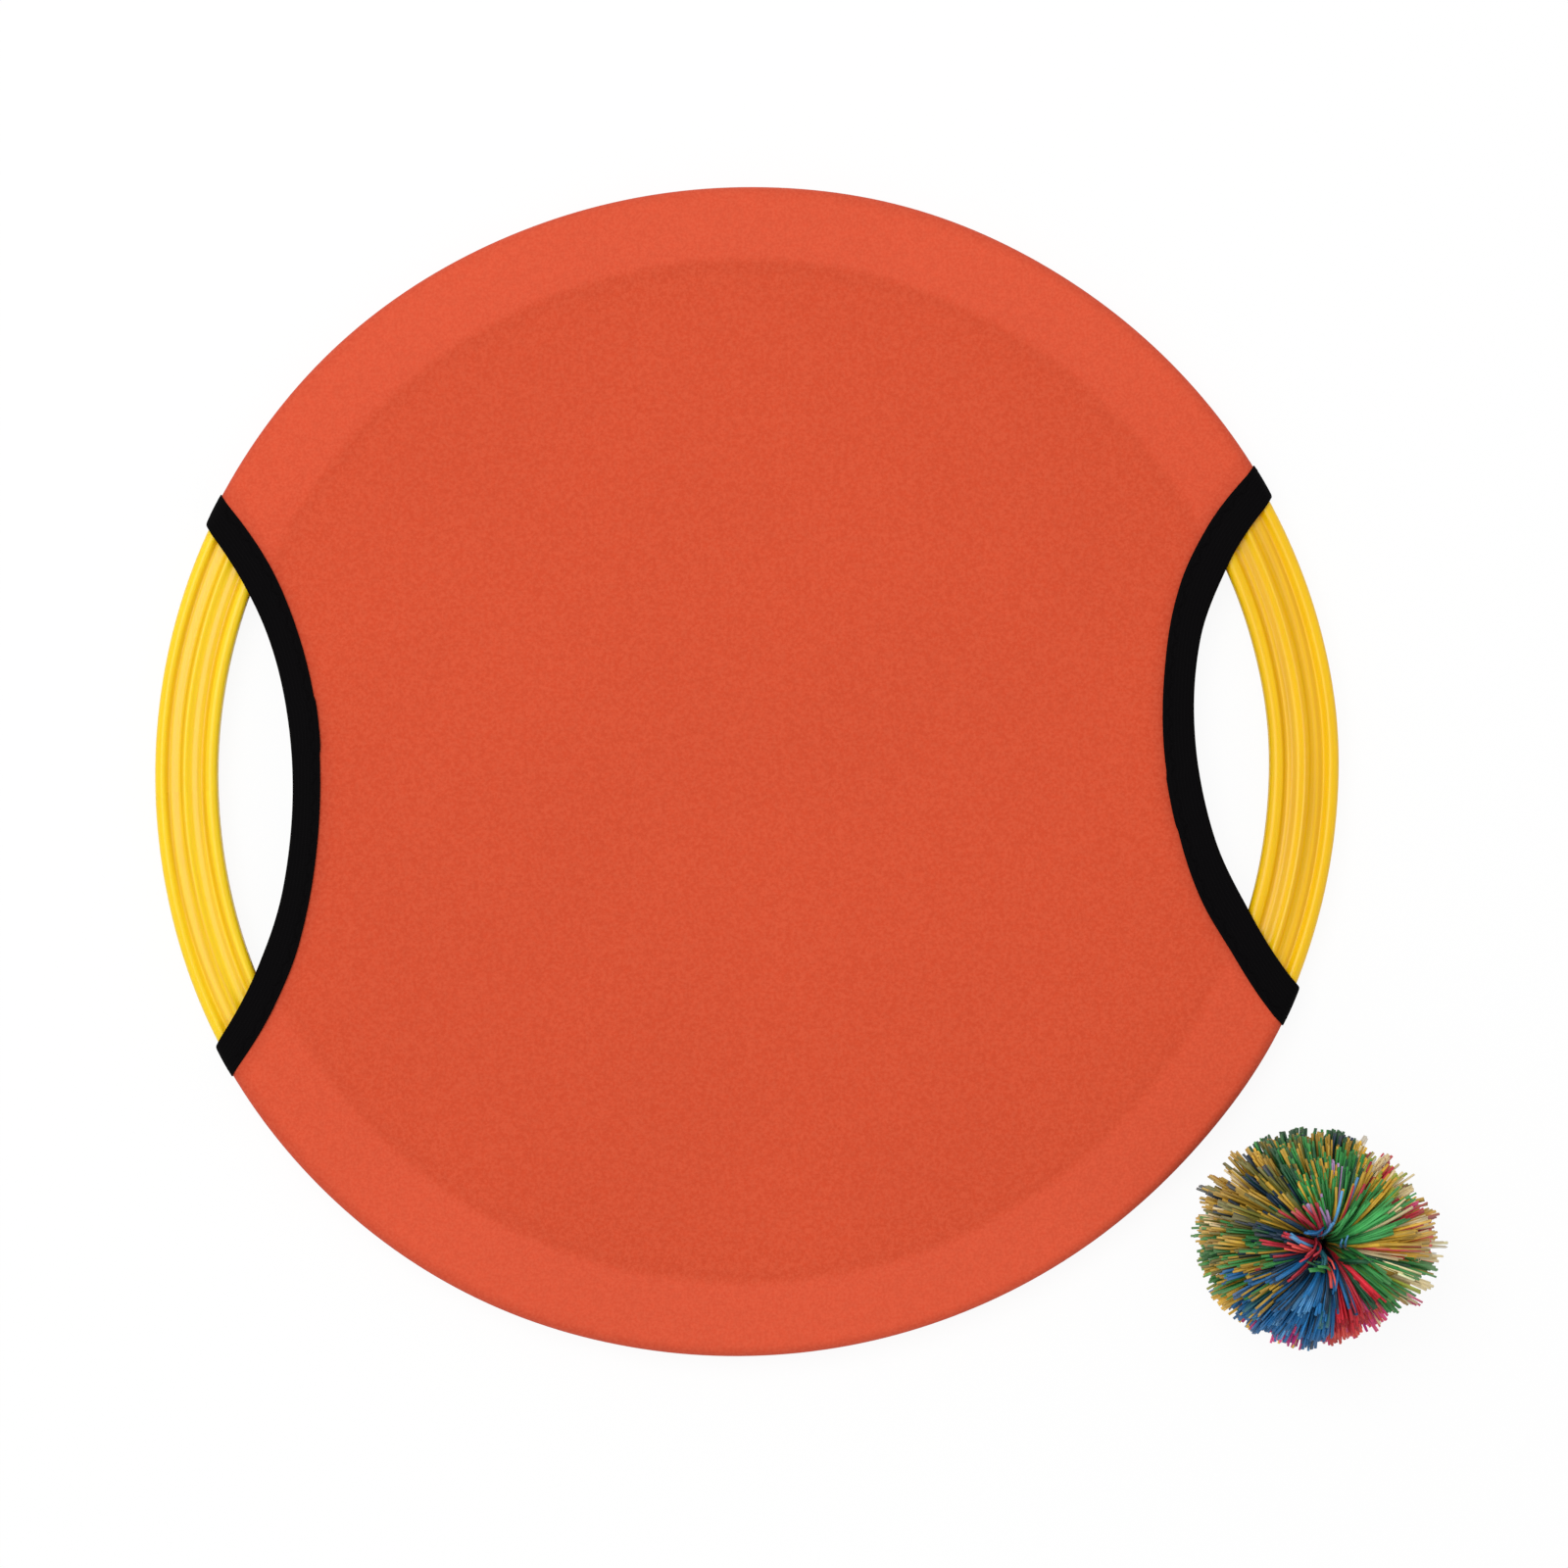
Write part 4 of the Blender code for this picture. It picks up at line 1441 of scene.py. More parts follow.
def model_stitch() -> Stamp:
    """Model one stitch: a short thread that dives into the cloth at both ends."""
    deselect_all()
    bpy.ops.mesh.primitive_cylinder_add(vertices=6, radius=1.0, depth=1.0, location=(0.5, 0, 0),
                                        rotation=(0, math.pi / 2, 0), end_fill_type='NGON')
    piece = new_piece("stitch")
    cut_across(piece, (0.15, 0.5, 0.85))
    for vert in piece.data.vertices:
        aside = abs(vert.co.x - 0.5) * 2
        vert.co.z -= 0.9 * aside ** 3
        if aside > 0.9:
            vert.co.y *= 0.6
    return Stamp.take(piece)


@dataclass
class RimSeam:
    """The sewn seam that joins the cover's two halves along the rim, between the tapes."""

    sizes: PaddleSizes
    reach: Reach
    finish: StretchKnit
    thread: SewingThread
    steps: int = 150
    ridge_height: float = 0.0007
    ridge_rise: float = 0.0002
    ridge_sink: float = 0.0001
    ridge_points: int = 13
    tuck: float = 0.0015
    sewn_share: float = 0.7
    stitch_pitch: float = 0.0019
    stitch_slant: float = 0.55
    thread_lift: float = 0.00003
    thread_radius: float = 0.00016

    def rim_angles(self, count: int) -> np.ndarray:
        """Spread a number of places along the seam, a little clear of both tapes."""
        rim = self.sizes.outer_radius + self.sizes.cover_out
        share = self.reach.value
        ends = []
        for opening in self.sizes.openings:
            covered = opening.edge_radius(share) + opening.tape_width(share) - self.tuck
            ends.append(opening.corner(rim, covered, self.reach))
        return share * np.linspace(ends[0], math.pi - ends[1], count)

    def ridge(self) -> bpy.types.Object:
        """Lay the low ridge where the two edges are joined."""
        size = self.sizes
        rim = size.outer_radius + size.cover_out
        turns = np.linspace(0.0, math.tau, self.ridge_points)
        rings = []
        pattern = []
        for angle in self.rim_angles(self.steps):
            radii = rim - self.ridge_sink + self.ridge_rise * np.cos(turns)
            heights = size.ring_middle + self.ridge_height * np.sin(turns)
            x, y = radii * math.cos(angle), radii * math.sin(angle) * size.drawn_in
            rings.append(np.stack([x, y, heights], axis=1))
            along = np.full(len(turns), abs(angle) * rim)
            pattern.append(np.stack([along, turns * self.ridge_height], axis=1))
        piece = laid_grid(f"{self.reach.name.lower()}_rim_seam", np.stack(rings), np.stack(pattern))
        close_up(piece)
        edit_all(piece)
        bpy.ops.mesh.select_all(action='DESELECT')
        bpy.ops.mesh.select_non_manifold()
        bpy.ops.mesh.fill_holes(sides=0)
        close_up(piece)
        shade(piece, 60)
        dress(piece, self.finish.material(size), "orange_knit")
        return size.settle(piece)

    def stitches(self, stamp: Stamp) -> bpy.types.Object:
        """Sew the slanted stitches over the ridge.

        Args:
            stamp: One stitch.

        Returns:
            All the stitches of this seam as one piece.
        """
        size = self.sizes
        count = round(math.pi * size.outer_radius * self.sewn_share / self.stitch_pitch)
        angles = self.rim_angles(count + 1)
        rim = size.outer_radius + size.cover_out + self.thread_lift
        half = self.ridge_height * 1.7

        def along_rim(turns: np.ndarray, height: float) -> np.ndarray:
            """Return places on the rim at one height beside the seam."""
            places = [rim * np.cos(turns), rim * np.sin(turns) * size.drawn_in,
                      np.full(len(turns), size.ring_middle + height)]
            return np.stack(places, axis=1)

        starts = along_rim(angles[:-1], -half)
        ends = along_rim(angles[:-1] + (angles[1:] - angles[:-1]) * self.stitch_slant, half)
        out = starts * np.array([1.0, 1.0, 0.0])
        places = lay_between(stamp, starts, ends, out, self.thread_radius)
        piece = stamp.lay(f"{self.reach.name.lower()}_rim_stitches", places)
        shade(piece, 60)
        dress(piece, self.thread.material(), "orange_knit")
        return size.settle(piece)


@dataclass(frozen=True)
class Tone:
    """A strand colour and how often it comes up in its bundle."""

    colour: Colour
    weight: float


@dataclass(frozen=True)
class Curl:
    """A few loose strands that lie over the others near the pole.

    around is their direction and reach the share of the ball's radius at which they end. aside says how far
    their roots stand off that direction, in degrees, and lift how steeply their tips rise.
    """

    colour: Colour
    around: float
    reach: float
    aside: float
    lift: float = 60.0
    count: int = 3


GREEN = (46, 132, 62)
BRIGHT_GREEN = (66, 160, 84)
LEAF_GREEN = (88, 152, 58)
DARK_GREEN = (24, 82, 50)
OLIVE = (104, 102, 34)
OCHRE = (186, 148, 46)
YELLOW = (226, 178, 56)
LIME = (168, 178, 62)
STRAW = (230, 208, 158)
CREAM = (240, 232, 214)
NAVY = (8, 42, 64)
BLUE = (22, 102, 158)
SKY = (84, 150, 200)
TEAL = (30, 100, 112)
RED = (206, 36, 52)
CRIMSON = (184, 44, 60)
CORAL = (232, 84, 76)
PINK = (232, 70, 132)
ROSE = (240, 150, 164)
MAGENTA = (188, 34, 124)
LAVENDER = (160, 128, 172)


@dataclass(frozen=True)
class Bundle:
    """The strands of one colour field around the ball.

    tips are the colours of the strands that end at the ball's outline, tops those of the strands that lie
    over them, and crown those of the strands that rise nearest to the pole.
    """

    name: str
    node: str
    slot: str
    start: float
    tips: tuple[Tone, ...]
    tops: tuple[Tone, ...]
    crown: tuple[Tone, ...]
    cut: TipCut = TipCut.RAGGED
    reach: float = 1.0
    curls: tuple[Curl, ...] = ()


BUNDLES = (
    Bundle("yellow_strands", "strands_yellow", "rubber_yellow", -12,
           (Tone(STRAW, 5), Tone(YELLOW, 3), Tone(CREAM, 2.4), Tone(CORAL, 1.6), Tone(PINK, 1)),
           (Tone(YELLOW, 4), Tone(STRAW, 2.4), Tone(OCHRE, 1.6), Tone(CORAL, 1.8), Tone(CRIMSON, 1.2)),
           (Tone(OCHRE, 4), Tone(YELLOW, 3), Tone(GREEN, 2), Tone(CRIMSON, 1.4)),
           TipCut.RAGGED, 1.09),
    Bundle("bright_green_strands", "strands_bright_green", "rubber_bright_green", 19,
           (Tone(STRAW, 4), Tone(LIME, 2), Tone(CREAM, 1.6), Tone(YELLOW, 1.6), Tone(CRIMSON, 1.4),
            Tone(MAGENTA, 1), Tone(PINK, 0.8)),
           (Tone(LIME, 2.4), Tone(YELLOW, 2.4), Tone(STRAW, 2), Tone(BRIGHT_GREEN, 1.6), Tone(CRIMSON, 1.6)),
           (Tone(BRIGHT_GREEN, 5), Tone(GREEN, 2), Tone(LIME, 2), Tone(OCHRE, 1)),
           TipCut.RAGGED, 1.03, (Curl(BRIGHT_GREEN, 70, 0.36, 24, 66, 5), Curl(SKY, 52, 0.18, -60, 76, 2))),
    Bundle("dark_green_strands", "strands_dark_green", "rubber_dark_green", 66,
           (Tone(DARK_GREEN, 5), Tone(GREEN, 4), Tone(OCHRE, 1.6), Tone(LAVENDER, 0.4), Tone(NAVY, 0.5)),
           (Tone(GREEN, 4), Tone(OCHRE, 3.4), Tone(DARK_GREEN, 3), Tone(OLIVE, 1.4)),
           (Tone(CRIMSON, 2), Tone(OCHRE, 2), Tone(LAVENDER, 1), Tone(GREEN, 2.8), Tone(SKY, 0.3)),
           TipCut.COMBED, 1.0, (Curl(SKY, 96, 0.3, 50, 70, 3), Curl(LAVENDER, 108, 0.42, -20, 63, 3),
                                Curl(CRIMSON, 116, 0.56, 12, 57, 5))),
    Bundle("olive_strands", "strands_olive", "rubber_olive", 120,
           (Tone(OCHRE, 6), Tone(OLIVE, 2), Tone(NAVY, 1), Tone(STRAW, 1.2), Tone(YELLOW, 1)),
           (Tone(OCHRE, 3.2), Tone(NAVY, 3), Tone(OLIVE, 3), Tone(DARK_GREEN, 2.6)),
           (Tone(CRIMSON, 1.4), Tone(OLIVE, 4), Tone(NAVY, 2), Tone(DARK_GREEN, 2)),
           TipCut.RAGGED, 1.05, (Curl(SKY, 156, 0.52, 34, 58, 6), Curl(CRIMSON, 128, 0.55, -10, 57, 4),
                                 Curl(BLUE, 146, 0.36, -40, 68, 3))),
    Bundle("moss_green_strands", "strands_moss_green", "rubber_moss_green", 163,
           (Tone(OCHRE, 4), Tone(GREEN, 4), Tone(OLIVE, 2), Tone(LEAF_GREEN, 1.6), Tone(STRAW, 0.8)),
           (Tone(GREEN, 4.4), Tone(OLIVE, 3), Tone(OCHRE, 2.4), Tone(NAVY, 1)),
           (Tone(NAVY, 4), Tone(DARK_GREEN, 2), Tone(OLIVE, 1.6), Tone(CRIMSON, 1), Tone(SKY, 0.4)),
           TipCut.EVEN, 1.0, (Curl(CORAL, 168, 0.46, 28, 62, 4), Curl(CRIMSON, 182, 0.3, -36, 72, 4),
                              Curl(DARK_GREEN, 194, 0.26, 70, 74, 3))),
    Bundle("gold_strands", "strands_gold", "rubber_gold", 198,
           (Tone(YELLOW, 4), Tone(OCHRE, 2.4), Tone(GREEN, 2), Tone(BLUE, 1.4), Tone(LIME, 1)),
           (Tone(BLUE, 6), Tone(OCHRE, 1.2), Tone(GREEN, 1.6), Tone(TEAL, 1.4)),
           (Tone(NAVY, 4), Tone(BLUE, 3), Tone(LAVENDER, 0.5), Tone(CRIMSON, 0.4)),
           TipCut.EVEN, 1.04, (Curl(GREEN, 206, 0.3, 60, 72, 3), Curl(TEAL, 218, 0.2, -50, 77, 3))),
    Bundle("blue_strands", "strands_blue", "rubber_blue", 222,
           (Tone(BLUE, 3), Tone(PINK, 2.6), Tone(MAGENTA, 1.6), Tone(YELLOW, 2), Tone(SKY, 1.4),
            Tone(CORAL, 1)),
           (Tone(BLUE, 9), Tone(NAVY, 1.4), Tone(SKY, 1.4)),
           (Tone(BLUE, 7), Tone(NAVY, 3), Tone(TEAL, 1.4)),
           TipCut.EVEN, 1.03, (Curl(BLUE, 262, 0.36, 20, 68, 4), Curl(CORAL, 256, 0.3, -24, 71, 3))),
    Bundle("red_strands", "strands_red", "rubber_red", 267,
           (Tone(CORAL, 4), Tone(PINK, 4), Tone(ROSE, 2.4), Tone(RED, 1.6)),
           (Tone(RED, 5), Tone(CORAL, 4), Tone(PINK, 1.4)),
           (Tone(RED, 6), Tone(CRIMSON, 2.4), Tone(NAVY, 1), Tone(BLUE, 0.6)),
           TipCut.EVEN, 0.98),
    Bundle("pink_strands", "strands_pink", "rubber_pink", 294,
           (Tone(PINK, 4), Tone(CORAL, 2.4), Tone(ROSE, 2.4), Tone(MAGENTA, 1.6), Tone(STRAW, 1.4)),
           (Tone(PINK, 3), Tone(CORAL, 2.4), Tone(GREEN, 1.6)),
           (Tone(DARK_GREEN, 3), Tone(GREEN, 1.6), Tone(RED, 1), Tone(CRIMSON, 1)),
           TipCut.RAGGED, 0.99),
    Bundle("leaf_green_strands", "strands_leaf_green", "rubber_leaf_green", 312,
           (Tone(STRAW, 3), Tone(PINK, 2.4), Tone(GREEN, 1.8), Tone(OCHRE, 1.6), Tone(ROSE, 1.2),
            Tone(DARK_GREEN, 0.8)),
           (Tone(GREEN, 4), Tone(OCHRE, 2.6), Tone(STRAW, 1.2), Tone(CORAL, 1), Tone(LIME, 1.4)),
           (Tone(GREEN, 5), Tone(DARK_GREEN, 2.8), Tone(LEAF_GREEN, 2)),
           TipCut.RAGGED, 1.06, (Curl(GREEN, 330, 0.45, 24, 62, 5), Curl(DARK_GREEN, 342, 0.3, -40, 71, 4))),
)


@dataclass
class StrandBall:
    """The ball of rubber strands, tied in the middle, a little flattened where it lies.

    The fields that start with sheaf, strand and curl say how widely chance moves one of them, in degrees or
    as a share, apart from sheaf itself, the usual number of strands in one.
    """

    middle: Vector
    floor: float
    finish: StrandRubber
    long_axis: float = 0.0315
    short_axis: float = 0.0280
    up_axis: float = 0.0260
    lean: float = math.radians(-12)
    pole: tuple[float, float] = (0.16, -0.07)
    root_radius: float = 0.0058
    width: float = 0.00072
    depth: float = 0.0005
    strands_per_degree: float = 10.5
    sheaf: int = 8
    crown_level: float = 44.0
    top_level: float = 14.0
    sheaf_around: float = 2.5
    sheaf_level: float = 6.0
    sheaf_swirl: float = 5.0
    sheaf_glow: float = 0.15
    strand_up: float = 2.4
    strand_swirl: float = 4.0
    strand_twist: float = 0.6
    strand_light: float = 0.13
    strand_mix: tuple[float, float, float] = (0.6, 0.28, 0.12)
    curl_around: float = 4.0
    curl_up: float = 3.0
    curl_aside: float = 8.0
    curl_twist: float = 0.8
    root_rise: float = math.radians(84)
    root_ease: float = math.radians(22)
    root_fall: float = 0.32
    root_pull: float = 0.42
    arch_pull: float = 0.1
    arch_start: float = 0.6
    tip_pull: float = 0.34
    droop: float = math.radians(44)
    tip_taper: float = 0.22
    seed: int = 5
    elevations: tuple[tuple[float, float], ...] = ((0.0, -58), (0.3, -6), (0.6, 14), (0.86, 36), (1.0, 56))

    def model_strand(self) -> Stamp:
        """Model one strand: a square bar, one unit long, cut across where it can bend."""
        deselect_all()
        bpy.ops.mesh.primitive_cube_add(size=1.0, location=(0.5, 0.0, 0.0))
        piece = new_piece("strand")
        cut_across(piece, (0.12, 0.26, 0.4, 0.54, 0.68, 0.84))
        return Stamp.take(piece)

    def outline_reach(self, ways: np.ndarray) -> np.ndarray:
        """Find how far the ball's outline lies in each direction.

        Args:
            ways: Unit directions from the ball's middle.

        Returns:
            The distance in each direction.
        """
        along = ways[:, 0] * math.cos(self.lean) + ways[:, 1] * math.sin(self.lean)
        across = ways[:, 1] * math.cos(self.lean) - ways[:, 0] * math.sin(self.lean)
        stretch = (along / self.long_axis) ** 2 + (across / self.short_axis) ** 2
        return 1 / np.sqrt(stretch + (ways[:, 2] / self.up_axis) ** 2)

    def sheaf_rows(self, bundle: Bundle, end: float, rng: random.Random) -> list[tuple[float, ...]]:
        """Draw up the strands of one bundle, sheaf by sheaf.

        Args:
            bundle: The bundle's place, colours and cut.
            end: Where the next bundle starts, in degrees.
            rng: The bundle's own chance.

        Returns:
            For each strand its direction, elevation, length, root aside, twist, thickness, light and colour.
        """
        span = end - bundle.start
        sheaves = max(4, round(span * self.strands_per_degree / self.sheaf))
        shares, rises = zip(*self.elevations)
        rows = []
        for index in range(sheaves):
            around = bundle.start + span * ((index + 0.5) / sheaves) + rng.gauss(0, self.sheaf_around)
            up = float(np.interp((index * GOLDEN_SHARE + rng.uniform(-0.03, 0.03)) % 1.0, shares, rises))
            level = up + rng.gauss(0, self.sheaf_level)
            tones = bundle.tips
            if level > self.crown_level:
                tones = bundle.crown
            elif level > self.top_level:
                tones = bundle.tops
            colours = [tone.colour for tone in tones]
            weights = [tone.weight for tone in tones]
            pair = rng.choices(colours, weights, k=2)
            length = rng.uniform(bundle.cut.shortest, 1.0) * bundle.reach
            swirl = rng.gauss(0, self.sheaf_swirl)
            glow = rng.gauss(1.0, self.sheaf_glow)
            widening = 1 / max(0.35, math.cos(math.radians(up)))
            for _ in range(rng.randint(self.sheaf - 4, self.sheaf + 4)):
                tone = rng.choices((*pair, rng.choices(colours, weights)[0]), self.strand_mix)[0]
                rows.append((
                    around + rng.gauss(0, bundle.cut.spread) * widening,
                    up + rng.gauss(0, self.strand_up),
                    length * rng.uniform(0.45 + bundle.cut.shortest * 0.55, 1.0),
                    swirl + rng.gauss(0, self.strand_swirl),
                    rng.gauss(0, self.strand_twist),
                    rng.uniform(0.8, 1.15),
                    glow * rng.gauss(1.0, self.strand_light),
                    *linear_colour(tone)[:3],
                ))
        for curl in bundle.curls:
            for _ in range(curl.count):
                rows.append((
                    curl.around + rng.gauss(0, self.curl_around),
                    curl.lift + rng.gauss(0, self.curl_up),
                    curl.reach / math.cos(math.radians(curl.lift)) * rng.uniform(0.9, 1.08),
                    curl.aside + rng.gauss(0, self.curl_aside),
                    rng.gauss(0, self.curl_twist),
                    rng.uniform(0.8, 1.1),
                    rng.gauss(1.05, 0.1),
                    *linear_colour(curl.colour)[:3],
                ))
        return rows

    def grow(self, bundle: Bundle, end: float, stamp: Stamp, seed: int) -> bpy.types.Object:
        """Grow one bundle.

        Args:
            bundle: The bundle's place, colours and cut.
            end: Where the next bundle starts, in degrees.
            stamp: One strand.
            seed: The seed of this bundle's chance.

        Returns:
            All the strands of the bundle as one piece.
        """
        facts = np.array(self.sheaf_rows(bundle, end, random.Random(seed)))
        around, up, length, swirl, twist, thick, light = facts[:, :7].T
        around, up, swirl = np.radians(around), np.radians(up), np.radians(swirl)
        places = self.bend(stamp, around, up, length, swirl, twist, thick)
        tones = np.concatenate([facts[:, 7:] * light[:, None], np.ones((len(facts), 1))], axis=1)
        piece = stamp.lay(bundle.name, places, np.clip(tones, 0.0, 1.0))
        dress(piece, self.finish.material(), bundle.slot, bundle.node)
        return piece

    def bend(self, stamp: Stamp, around: np.ndarray, up: np.ndarray, length: np.ndarray, swirl: np.ndarray,
             twist: np.ndarray, thick: np.ndarray) -> np.ndarray:
        """Bend a copy of the strand for each row: steeply out of the tie, then over and outward to its tip.

        Args:
            stamp: The straight strand.
            around: Direction of each tip about the upright axis.
            up: Elevation of each tip.
            length: How far each tip reaches, as a share of the outline.
            swirl: How far each root stands aside of its tip.
            twist: How far each strand is turned about itself.
            thick: Each strand's thickness as a share of the usual one.

        Returns:
            The places of the strand's points for every copy.
        """
        pole = Vector((*self.pole, 1.0)).normalized()
        lean = np.array(Vector((0, 0, 1)).rotation_difference(pole).to_matrix())

        def ways(bearing: np.ndarray, rise: np.ndarray) -> np.ndarray:
            """Return unit directions about the ball's own pole."""
            level = np.cos(rise)
            return np.stack([level * np.cos(bearing), level * np.sin(bearing), np.sin(rise)], axis=1) @ lean.T

        tip_way = ways(around, up)
        tip = tip_way * (self.outline_reach(tip_way) * length)[:, None]
        root_up = self.root_rise * np.tanh(up / self.root_ease)
        root_up = root_up * (1 - self.root_fall * np.minimum(1, np.abs(swirl)))
        root_way = ways(around + swirl, root_up)
        root = root_way * self.root_radius
        span = np.linalg.norm(tip - root, axis=1)[:, None]
        arch = np.minimum(1, np.abs(up) / self.arch_start)
        first = root + root_way * span * (self.root_pull + self.arch_pull * arch)[:, None]
        over = ways(around - swirl * 0.4, up - self.droop * np.sign(up) * arch)
        second = tip - over * span * self.tip_pull
        along, broad, tall = stamp.points.T
        share = along[None, :, None]
        a, b, c, d = (point[:, None, :] for point in (root, first, second, tip))
        rest = 1 - share
        path = a * rest ** 3 + 3 * b * rest ** 2 * share + 3 * c * rest * share ** 2 + d * share ** 3
        way = unit(3 * ((b - a) * rest ** 2 + 2 * (c - b) * rest * share + (d - c) * share ** 2))
        aside = np.stack([-np.sin(around), np.cos(around), np.zeros_like(around)], axis=1)[:, None, :]
        aside = square_to(aside, way)
        out = np.cross(way, aside)
        turn = (twist[:, None] * (0.4 + along[None, :]))[:, :, None]
        wide = aside * np.cos(turn) + out * np.sin(turn)
        deep = out * np.cos(turn) - aside * np.sin(turn)
        taper = 0.55 + 0.45 * smooth_step(along * 2.5)
        taper = taper * (1 - self.tip_taper * smooth_step((along - 0.6) / 0.4))
        taper = taper[None, :] * thick[:, None]
        y = (broad[None, :] * self.width * taper)[:, :, None]
        z = (tall[None, :] * self.depth * taper)[:, :, None]
        places = path + np.array(self.middle)[None, None, :]
        low = self.floor + self.width * 0.6
        heights = places[:, :, 2]
        places[:, :, 2] = np.where(heights < low, low - (low - heights) * 0.02, heights)
        places = places + wide * y + deep * z
        places[:, :, 2] = np.maximum(places[:, :, 2], self.floor + 0.00002)
        return places

    def build(self) -> list[bpy.types.Object]:
        """Grow all the bundles round the ball."""
        stamp = self.model_strand()
        starts = [bundle.start for bundle in BUNDLES]
        ends = starts[1:] + [starts[0] + 360]
        return [self.grow(bundle, ends[index], stamp, self.seed + index)
                for index, bundle in enumerate(BUNDLES)]


@dataclass
class CoreTie:
    """The band wound three times round the strands' middle."""

    middle: Vector
    radius: float
    finish: BandRubber
    turns: int = 3
    wind: float = 0.0022
    turn_steps: int = 8

    def build(self) -> bpy.types.Object:
        """Spin a scalloped section, one rounded scallop for each turn of the band."""
        half = self.turns * self.wind / 2
        outline = [(0.0, -half)]
        for turn in range(self.turns):
            centre = -half + self.wind * (turn + 0.5)
            for step in range(self.turn_steps + 1):
                angle = math.pi * step / self.turn_steps
                radius = self.radius - self.wind / 2 * (1 - math.sin(angle))
                outline.append((radius, centre - self.wind / 2 * math.cos(angle)))
        outline.append((0.0, half))
        piece = spun("core_tie", outline, 48)
        edit_all(piece)
        bpy.ops.transform.translate(value=tuple(self.middle))
        shade(piece, 50)
        dress(piece, self.finish.material(), "tie_band", "ball_tie")
        return piece


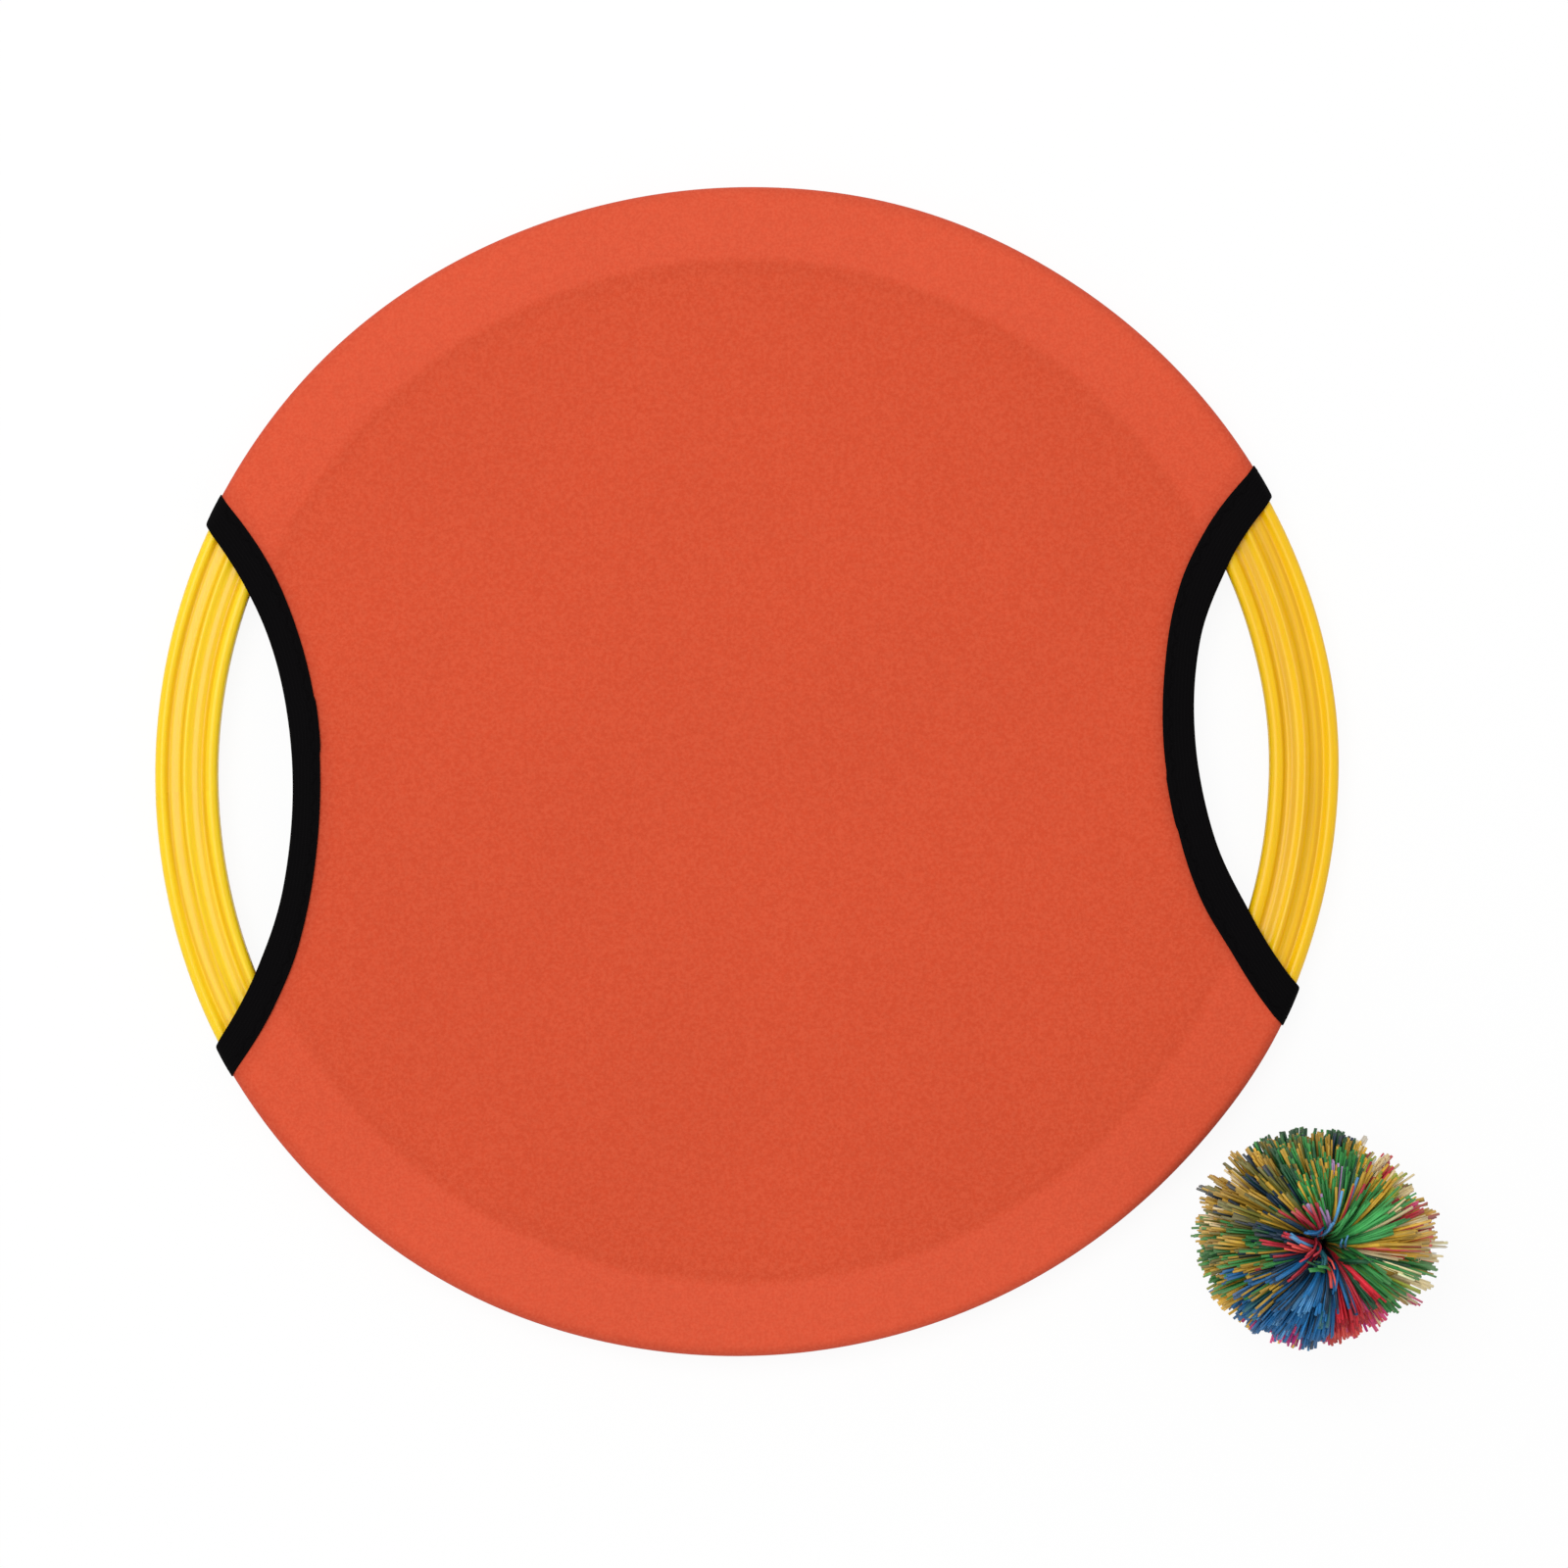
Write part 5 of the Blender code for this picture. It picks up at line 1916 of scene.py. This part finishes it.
@dataclass
class Studio:
    """The white floor, the soft lamp and the camera straight above."""

    sizes: PaddleSizes
    floor_size: float = 6.0
    floor_gap: float = 0.00004
    sky: float = 0.58
    lamp_power: float = 14.0
    lamp_place: tuple[float, float, float] = (-0.35, 0.4, 1.5)
    lamp_size: float = 1.1
    camera_height: float = 1.15
    view_width: float = 0.3968
    aim: tuple[float, float] = (0.00998, -0.00357)
    roll: float = math.radians(-2.1)

    def floor(self) -> None:
        """Lay the white floor under the set."""
        deselect_all()
        bpy.ops.mesh.primitive_plane_add(size=self.floor_size, location=(0, 0, 0))
        sheet = new_piece("studio_floor")
        edit_all(sheet)
        bpy.ops.mesh.subdivide(number_cuts=3)
        bpy.ops.transform.translate(value=(0, 0, self.sizes.rest_level - self.floor_gap))
        bpy.ops.object.mode_set(mode='OBJECT')
        sheet.data.materials.append(StudioFloor("white_paper").material())

    def lamp(self) -> None:
        """Hang one large soft lamp over the far left side."""
        data = bpy.data.lights.new("soft_lamp", 'AREA')
        data.shape = 'DISK'
        data.size = self.lamp_size
        data.energy = self.lamp_power
        lamp = bpy.data.objects.new("soft_lamp", data)
        lamp.location = self.lamp_place
        lamp.rotation_euler = (-Vector(self.lamp_place)).to_track_quat('-Z', 'Y').to_euler()
        bpy.context.scene.collection.objects.link(lamp)

    def world(self) -> None:
        """Light everything evenly, and show white where nothing else is seen."""
        world = bpy.data.worlds.new("white_room")
        bpy.context.scene.world = world
        tree = ShadeTree(world)
        strength = tree.math('MULTIPLY_ADD', seen_directly(tree), 1 - self.sky, self.sky)
        white = tree.node("ShaderNodeBackground", {"Color": (1.0, 1.0, 1.0, 1.0), "Strength": strength})
        tree.node("ShaderNodeOutputWorld", {"Surface": white.outputs[0]})

    def camera(self) -> None:
        """Place the camera over the set, as the photograph was taken."""
        data = bpy.data.cameras.new("view")
        data.sensor_width = 36.0
        data.lens = 36.0 * self.camera_height / self.view_width
        camera = bpy.data.objects.new("view", data)
        top = self.sizes.ring_middle + self.sizes.ring_height / 2 + self.sizes.cover_out
        camera.location = (self.aim[0], self.aim[1], top + self.camera_height)
        camera.rotation_euler = (0.0, 0.0, self.roll)
        bpy.context.scene.collection.objects.link(camera)
        bpy.context.scene.camera = camera

    def build(self) -> None:
        """Set up floor, light and camera."""
        self.floor()
        self.lamp()
        self.world()
        self.camera()
        bpy.context.scene.view_settings.view_transform = 'Standard'


def build_paddle(sizes: PaddleSizes) -> None:
    """Build the ring, the cover, the tapes and the sewing.

    Args:
        sizes: The paddle's sizes.
    """
    # The knit's second colour is the ring showing through with painted light, the third painted shade.
    knit = StretchKnit("orange_knit", (211, 74, 41), (221, 82, 51), (186, 64, 38), (232, 115, 84))
    elastic = RibbedElastic("black_elastic", (9, 8, 9), (17, 16, 17))
    black_thread = SewingThread("black_thread", (7, 6, 7), 0.03)
    orange_thread = SewingThread("orange_thread", (206, 80, 52))
    # Each plastic pair runs left to right, the right one darker as painted light; the second pair is a
    # painted reflection, the third painted shade.
    plastic = MouldedPlastic("yellow_plastic", sizes, ((250, 208, 24), (244, 194, 8)), (
        (243, 198, 54), (226, 171, 8)), ((222, 164, 16), (214, 150, 8)), 0.3)
    ring = RingFrame(sizes, plastic).build()
    stitch = model_stitch()
    for opening in sizes.openings:
        tape = EdgeTape(sizes, opening, elastic, black_thread)
        tape.build()
        tape.stitch(stitch)
    for reach in Reach:
        seam = RimSeam(sizes, reach, knit, orange_thread)
        seam.ridge()
        seam.stitches(stitch)
    for face in Face:
        cover = StretchCover(sizes, face, knit)
        cover.build()


def build_ball(sizes: PaddleSizes) -> None:
    """Build the tie and the strands round it.

    Args:
        sizes: The paddle's sizes, for the floor that the ball lies on too.
    """
    low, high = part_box("ball_tie")
    middle = (low + high) / 2
    # The tie's colour is painted darker for the shade at the ball's pole.
    CoreTie(middle, (high.x - low.x) / 2, BandRubber("tie_band", (40, 38, 40))).build()
    StrandBall(middle, sizes.rest_level, StrandRubber("strand_rubber", middle)).build()


def main() -> None:
    """Build the studio, the paddle and the ball."""
    logging.basicConfig(level=logging.INFO, format="%(message)s")
    sizes = PaddleSizes()
    Studio(sizes).build()
    build_paddle(sizes)
    build_ball(sizes)


if __name__ == "__main__":
    main()
